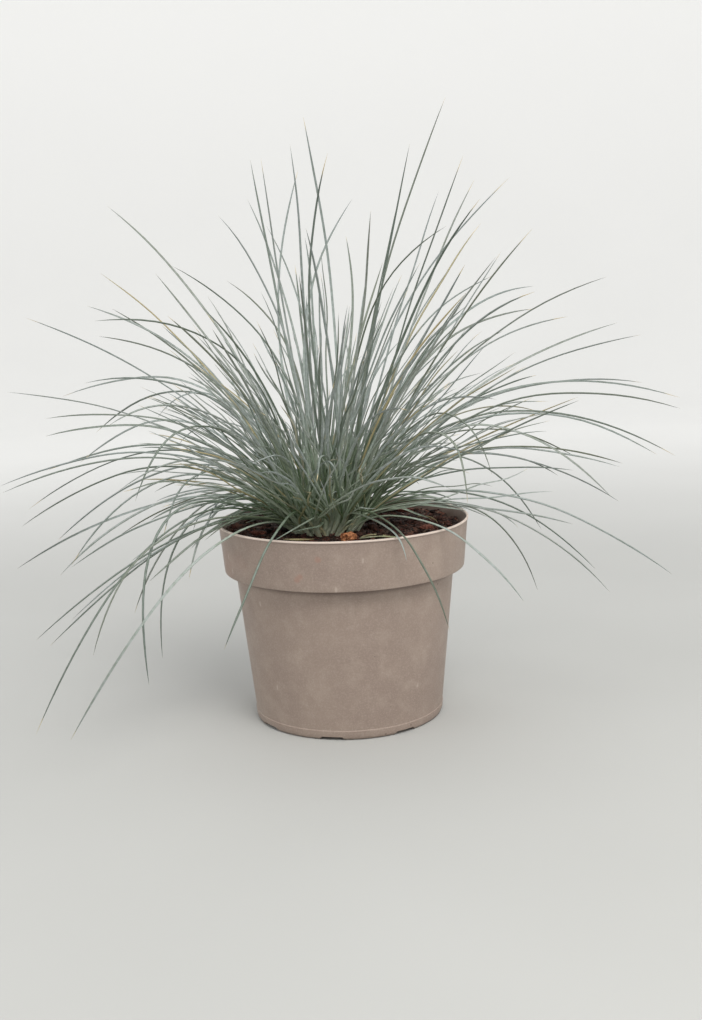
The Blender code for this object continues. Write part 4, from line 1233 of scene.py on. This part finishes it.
def add_low_leaves(sheaths):
    # The low leaves each grow from a tiller that stands far out on their side
    lot = random.Random(SEED + 2)
    low = [[] for _ in sheaths]
    for row in LOW_LEAVES:
        tip = on_sight_line(row[0], row[1], row[4])
        side = CROWN + way(math.atan2(tip.y - CROWN.y, tip.x - CROWN.x)) * CROWN_RADIUS
        nearest = sorted(range(len(sheaths)), key=lambda i: math.hypot(*(sheaths[i][0] - side).xy))
        for attempt in range(80):
            i = nearest[attempt % 3]
            middle, tip = photo_leaf(row, lot, attempt / 80)
            points = blade_points(sheaths[i][1], (middle, tip))
            if clears_pot(sheaths[i][1], middle, tip) and clears_bark(points):
                low[i].append((middle, tip))
                break
    return low


def heading_of(sheath, blade):
    reach = blade[1] - sheath[1]
    if math.hypot(reach.x, reach.y) < 0.004:
        reach = sheath[1] - CROWN
    angle = math.atan2(reach.y, reach.x)
    return (math.cos(angle), math.sin(angle), 0.0)


def make_grass(material):
    sheaths, blades = grow_tillers()
    kinds = {"main": blades, "filler": add_fillers(sheaths, blades), "low": add_low_leaves(sheaths)}
    grown = [i for i in range(TILLERS) if blades[i]]
    for number, i in enumerate(grown):
        lot = random.Random(SEED + 100 + i)
        foot, mouth = sheaths[i]
        length = (mouth - foot).length + SHEATH_DEPTH
        tuft = Tuft()
        leaves = [(blade, kind) for kind, rows in kinds.items() for blade in rows[i]]
        lot.shuffle(leaves)
        for order, (blade, kind) in enumerate(leaves):
            depth = order / max(1, len(leaves) - 1)
            radius = SHEATH_OUTER + (SHEATH_INNER - SHEATH_OUTER) * depth
            filler = kind == "filler"
            path = along_path(sheaths[i], blade, 0.72 + 0.2 * depth if filler else 0.9)
            path = sway(path, lot, 0.0018 if filler else 0.0007)
            path, places = spaced(path, LEAF_RINGS, 1.25)
            width = lot.uniform(*LEAF_WIDTHS[kind])
            made = leaf_mesh(path, places, heading_of(sheaths[i], blade), length, radius, width, lot,
                             lot.gauss(0, 0.9))
            silvery = kind == "low" or lot.random() < SILVERY
            tone = min(1.0, max(0.0, lot.gauss(0.82, 0.13) if silvery else lot.gauss(0.20, 0.15)))
            aged = lot.random() < AGED[kind]
            age = lot.uniform(0.3, 0.9) if aged else 0.10 * lot.random() ** 2
            dry = lot.uniform(0.01, 0.05) if lot.random() < 0.4 else 0.0
            tuft.add(made, tone, age, dry)
        for stub in range(STUBS_A_TILLER):
            add_stub(tuft, sheaths[i], lot)
        tuft.piece(f"fescue_tiller_{number + 1:02d}", material, f"tiller_{number + 1:02d}")


def add_stub(tuft, sheath, lot):
    # A short dead sheath or broken leaf at the foot of the tiller
    foot, mouth = sheath
    out = foot - CROWN
    angle = math.atan2(out.y, out.x) + lot.gauss(0, 0.8)
    lean = math.radians(lot.uniform(18, 62))
    length = lot.uniform(0.006, 0.017)
    rise = way(angle) * math.sin(lean) + Vector((0, 0, math.cos(lean)))
    middle = foot + rise * length * 0.6
    tip = middle + (rise + Vector((0, 0, -0.25))) * length * 0.5
    tip.z = max(tip.z, SOIL_TOP + 0.002)
    start = foot - Vector((0, 0, 0.002))
    path = np.array([tuple(curve_through(start, middle, tip, k / 16)) for k in range(17)])
    path, places = spaced(path, STUB_RINGS, 1.0)
    heading = (math.cos(angle), math.sin(angle), 0.0)
    made = leaf_mesh(path, places, heading, length * 0.5, STUB_RADIUS, STUB_WIDTH,
                     lot, lot.gauss(0, 0.8), 0.5)
    tuft.add(made, 0.8, lot.uniform(0.1, 0.7), 0.1)


def make_litter(material):
    # Dead leaf ends lying on the compost by the clod, and one by the rim
    rows = (
        ((0.0110, -0.0560), (0.0265, -0.0610), (0.0420, -0.0560), 0.35),
        ((0.0120, -0.0520), (0.0230, -0.0530), (0.0340, -0.0575), 0.75),
        ((-0.0420, -0.0480), (-0.0330, -0.0560), (-0.0200, -0.0600), 0.85),
        ((0.0560, 0.0180), (0.0650, 0.0100), (0.0700, -0.0040), 0.9),
        ((-0.0300, 0.0560), (-0.0440, 0.0540), (-0.0560, 0.0440), 0.9),
    )
    lot = random.Random(SEED + 9)
    tuft = Tuft()
    for start, middle, end, age in rows:
        spots = [Vector((x, y, highest_soil(x, y, 0.003) + 0.0012)) for x, y in (start, middle, end)]
        spots[1].z += 0.0014
        path = np.array([tuple(curve_through(*spots, k / 16)) for k in range(17)])
        path, places = spaced(path, 16, 1.0)
        reach = spots[2] - spots[0]
        angle = math.atan2(reach.y, reach.x)
        made = leaf_mesh(path, places, (math.cos(angle), math.sin(angle), 0.0), -1.0, 0.001, 0.0014, lot,
                         lot.gauss(0, 1.5), 0.5)
        tuft.add(made, 0.3, age, 0.03)
    vertices = np.concatenate(tuft.vertices)
    piece = new_piece("fallen_leaves", vertices, tuft.faces, material)
    point_colours(piece, "leaf_data", np.concatenate(tuft.data))
    point_colours(piece, "leaf_form", np.concatenate(tuft.form))


# Stage


def make_stage():
    # A pale floor that turns up into a backdrop all round
    outline = [(0.0, 0.0), (0.4, 0.0), (1.2, 0.0), (2.2, 0.0)]
    for step in range(1, 13):
        turn = math.radians(90 * step / 12)
        outline.append((2.2 + 1.2 * math.sin(turn), 1.2 - 1.2 * math.cos(turn)))
    outline.append((3.4, STAGE_TOP))
    sides = 96
    vertices = []
    faces = []
    for radius, height in outline:
        for side in range(sides):
            angle = 2 * math.pi * side / sides
            vertices.append((radius * math.cos(angle), radius * math.sin(angle), height))
    for ring in range(len(outline) - 1):
        for side in range(sides):
            low = ring * sides
            following = (side + 1) % sides
            faces.append((low + side, low + following, low + sides + following, low + sides + side))
    mesh = bpy.data.meshes.new("backdrop")
    mesh.from_pydata(vertices, [], faces)
    shaped = bmesh.new()
    shaped.from_mesh(mesh)
    bmesh.ops.remove_doubles(shaped, verts=shaped.verts, dist=1e-5)
    bmesh.ops.recalc_face_normals(shaped, faces=shaped.faces)
    shaped.to_mesh(mesh)
    shaped.free()
    mesh.polygons.foreach_set("use_smooth", [True] * len(mesh.polygons))
    mesh.materials.append(stage_material())
    backdrop = bpy.data.objects.new("backdrop", mesh)
    bpy.context.scene.collection.objects.link(backdrop)


def add_light(name, place, target, size, power, colour):
    data = bpy.data.lights.new(name, "AREA")
    data.shape = "DISK"
    data.size = size
    data.energy = power
    data.color = colour
    lamp = bpy.data.objects.new(name, data)
    lamp.location = place
    lamp.rotation_euler = (Vector(target) - Vector(place)).to_track_quat("-Z", "Y").to_euler()
    bpy.context.scene.collection.objects.link(lamp)


def make_light():
    world = bpy.data.worlds.new("studio")
    bpy.context.scene.world = world
    world.use_nodes = True
    world.node_tree.nodes["Background"].inputs[0].default_value = (0.97, 0.985, 1.0, 1.0)
    world.node_tree.nodes["Background"].inputs[1].default_value = 0.60
    add_light("soft_key", (0.40, -1.0, 1.6), (0, 0, 0.15), 0.9, 24, (1.0, 0.99, 0.97))
    add_light("soft_back", (-0.3, 0.9, 1.9), (0, 0, 0.2), 1.4, 10, (0.98, 0.99, 1.0))
    add_light("soft_left", (-1.6, -0.5, 0.9), (0, 0, 0.12), 1.0, 4, (0.98, 0.99, 1.0))
    add_light("soft_right", (1.6, -0.5, 0.9), (0, 0, 0.12), 1.0, 3, (1.0, 0.99, 0.97))


def make_camera():
    data = bpy.data.cameras.new("camera")
    data.lens = LENS
    data.clip_start = 0.05
    data.clip_end = 50
    camera = bpy.data.objects.new("camera", data)
    turn = Matrix.Rotation(math.pi / 2 - PITCH, 4, "X") @ Matrix.Rotation(-ROLL, 4, "Z")
    camera.matrix_world = Matrix.Translation(EYE) @ turn
    bpy.context.scene.collection.objects.link(camera)
    bpy.context.scene.camera = camera
    bpy.context.scene.view_settings.view_transform = "Standard"
    bpy.context.scene.view_settings.look = "None"


make_camera()
make_light()
make_stage()
grass = grass_material()
crumbs = bark_material("bark_bits", srgb(36, 24, 20), srgb(92, 68, 58), srgb(118, 62, 48))
clod = bark_material("orange_clod", srgb(206, 138, 92), srgb(226, 168, 124), srgb(198, 120, 76))
chips = bark_material("bark_chips", srgb(84, 48, 38), srgb(126, 84, 68), srgb(142, 78, 64))
make_pot(pot_material())
make_soil(soil_material())
make_crumbs(crumbs, tiller_feet())
make_loose_bark(clod, chips)
make_grass(grass)
make_litter(grass)
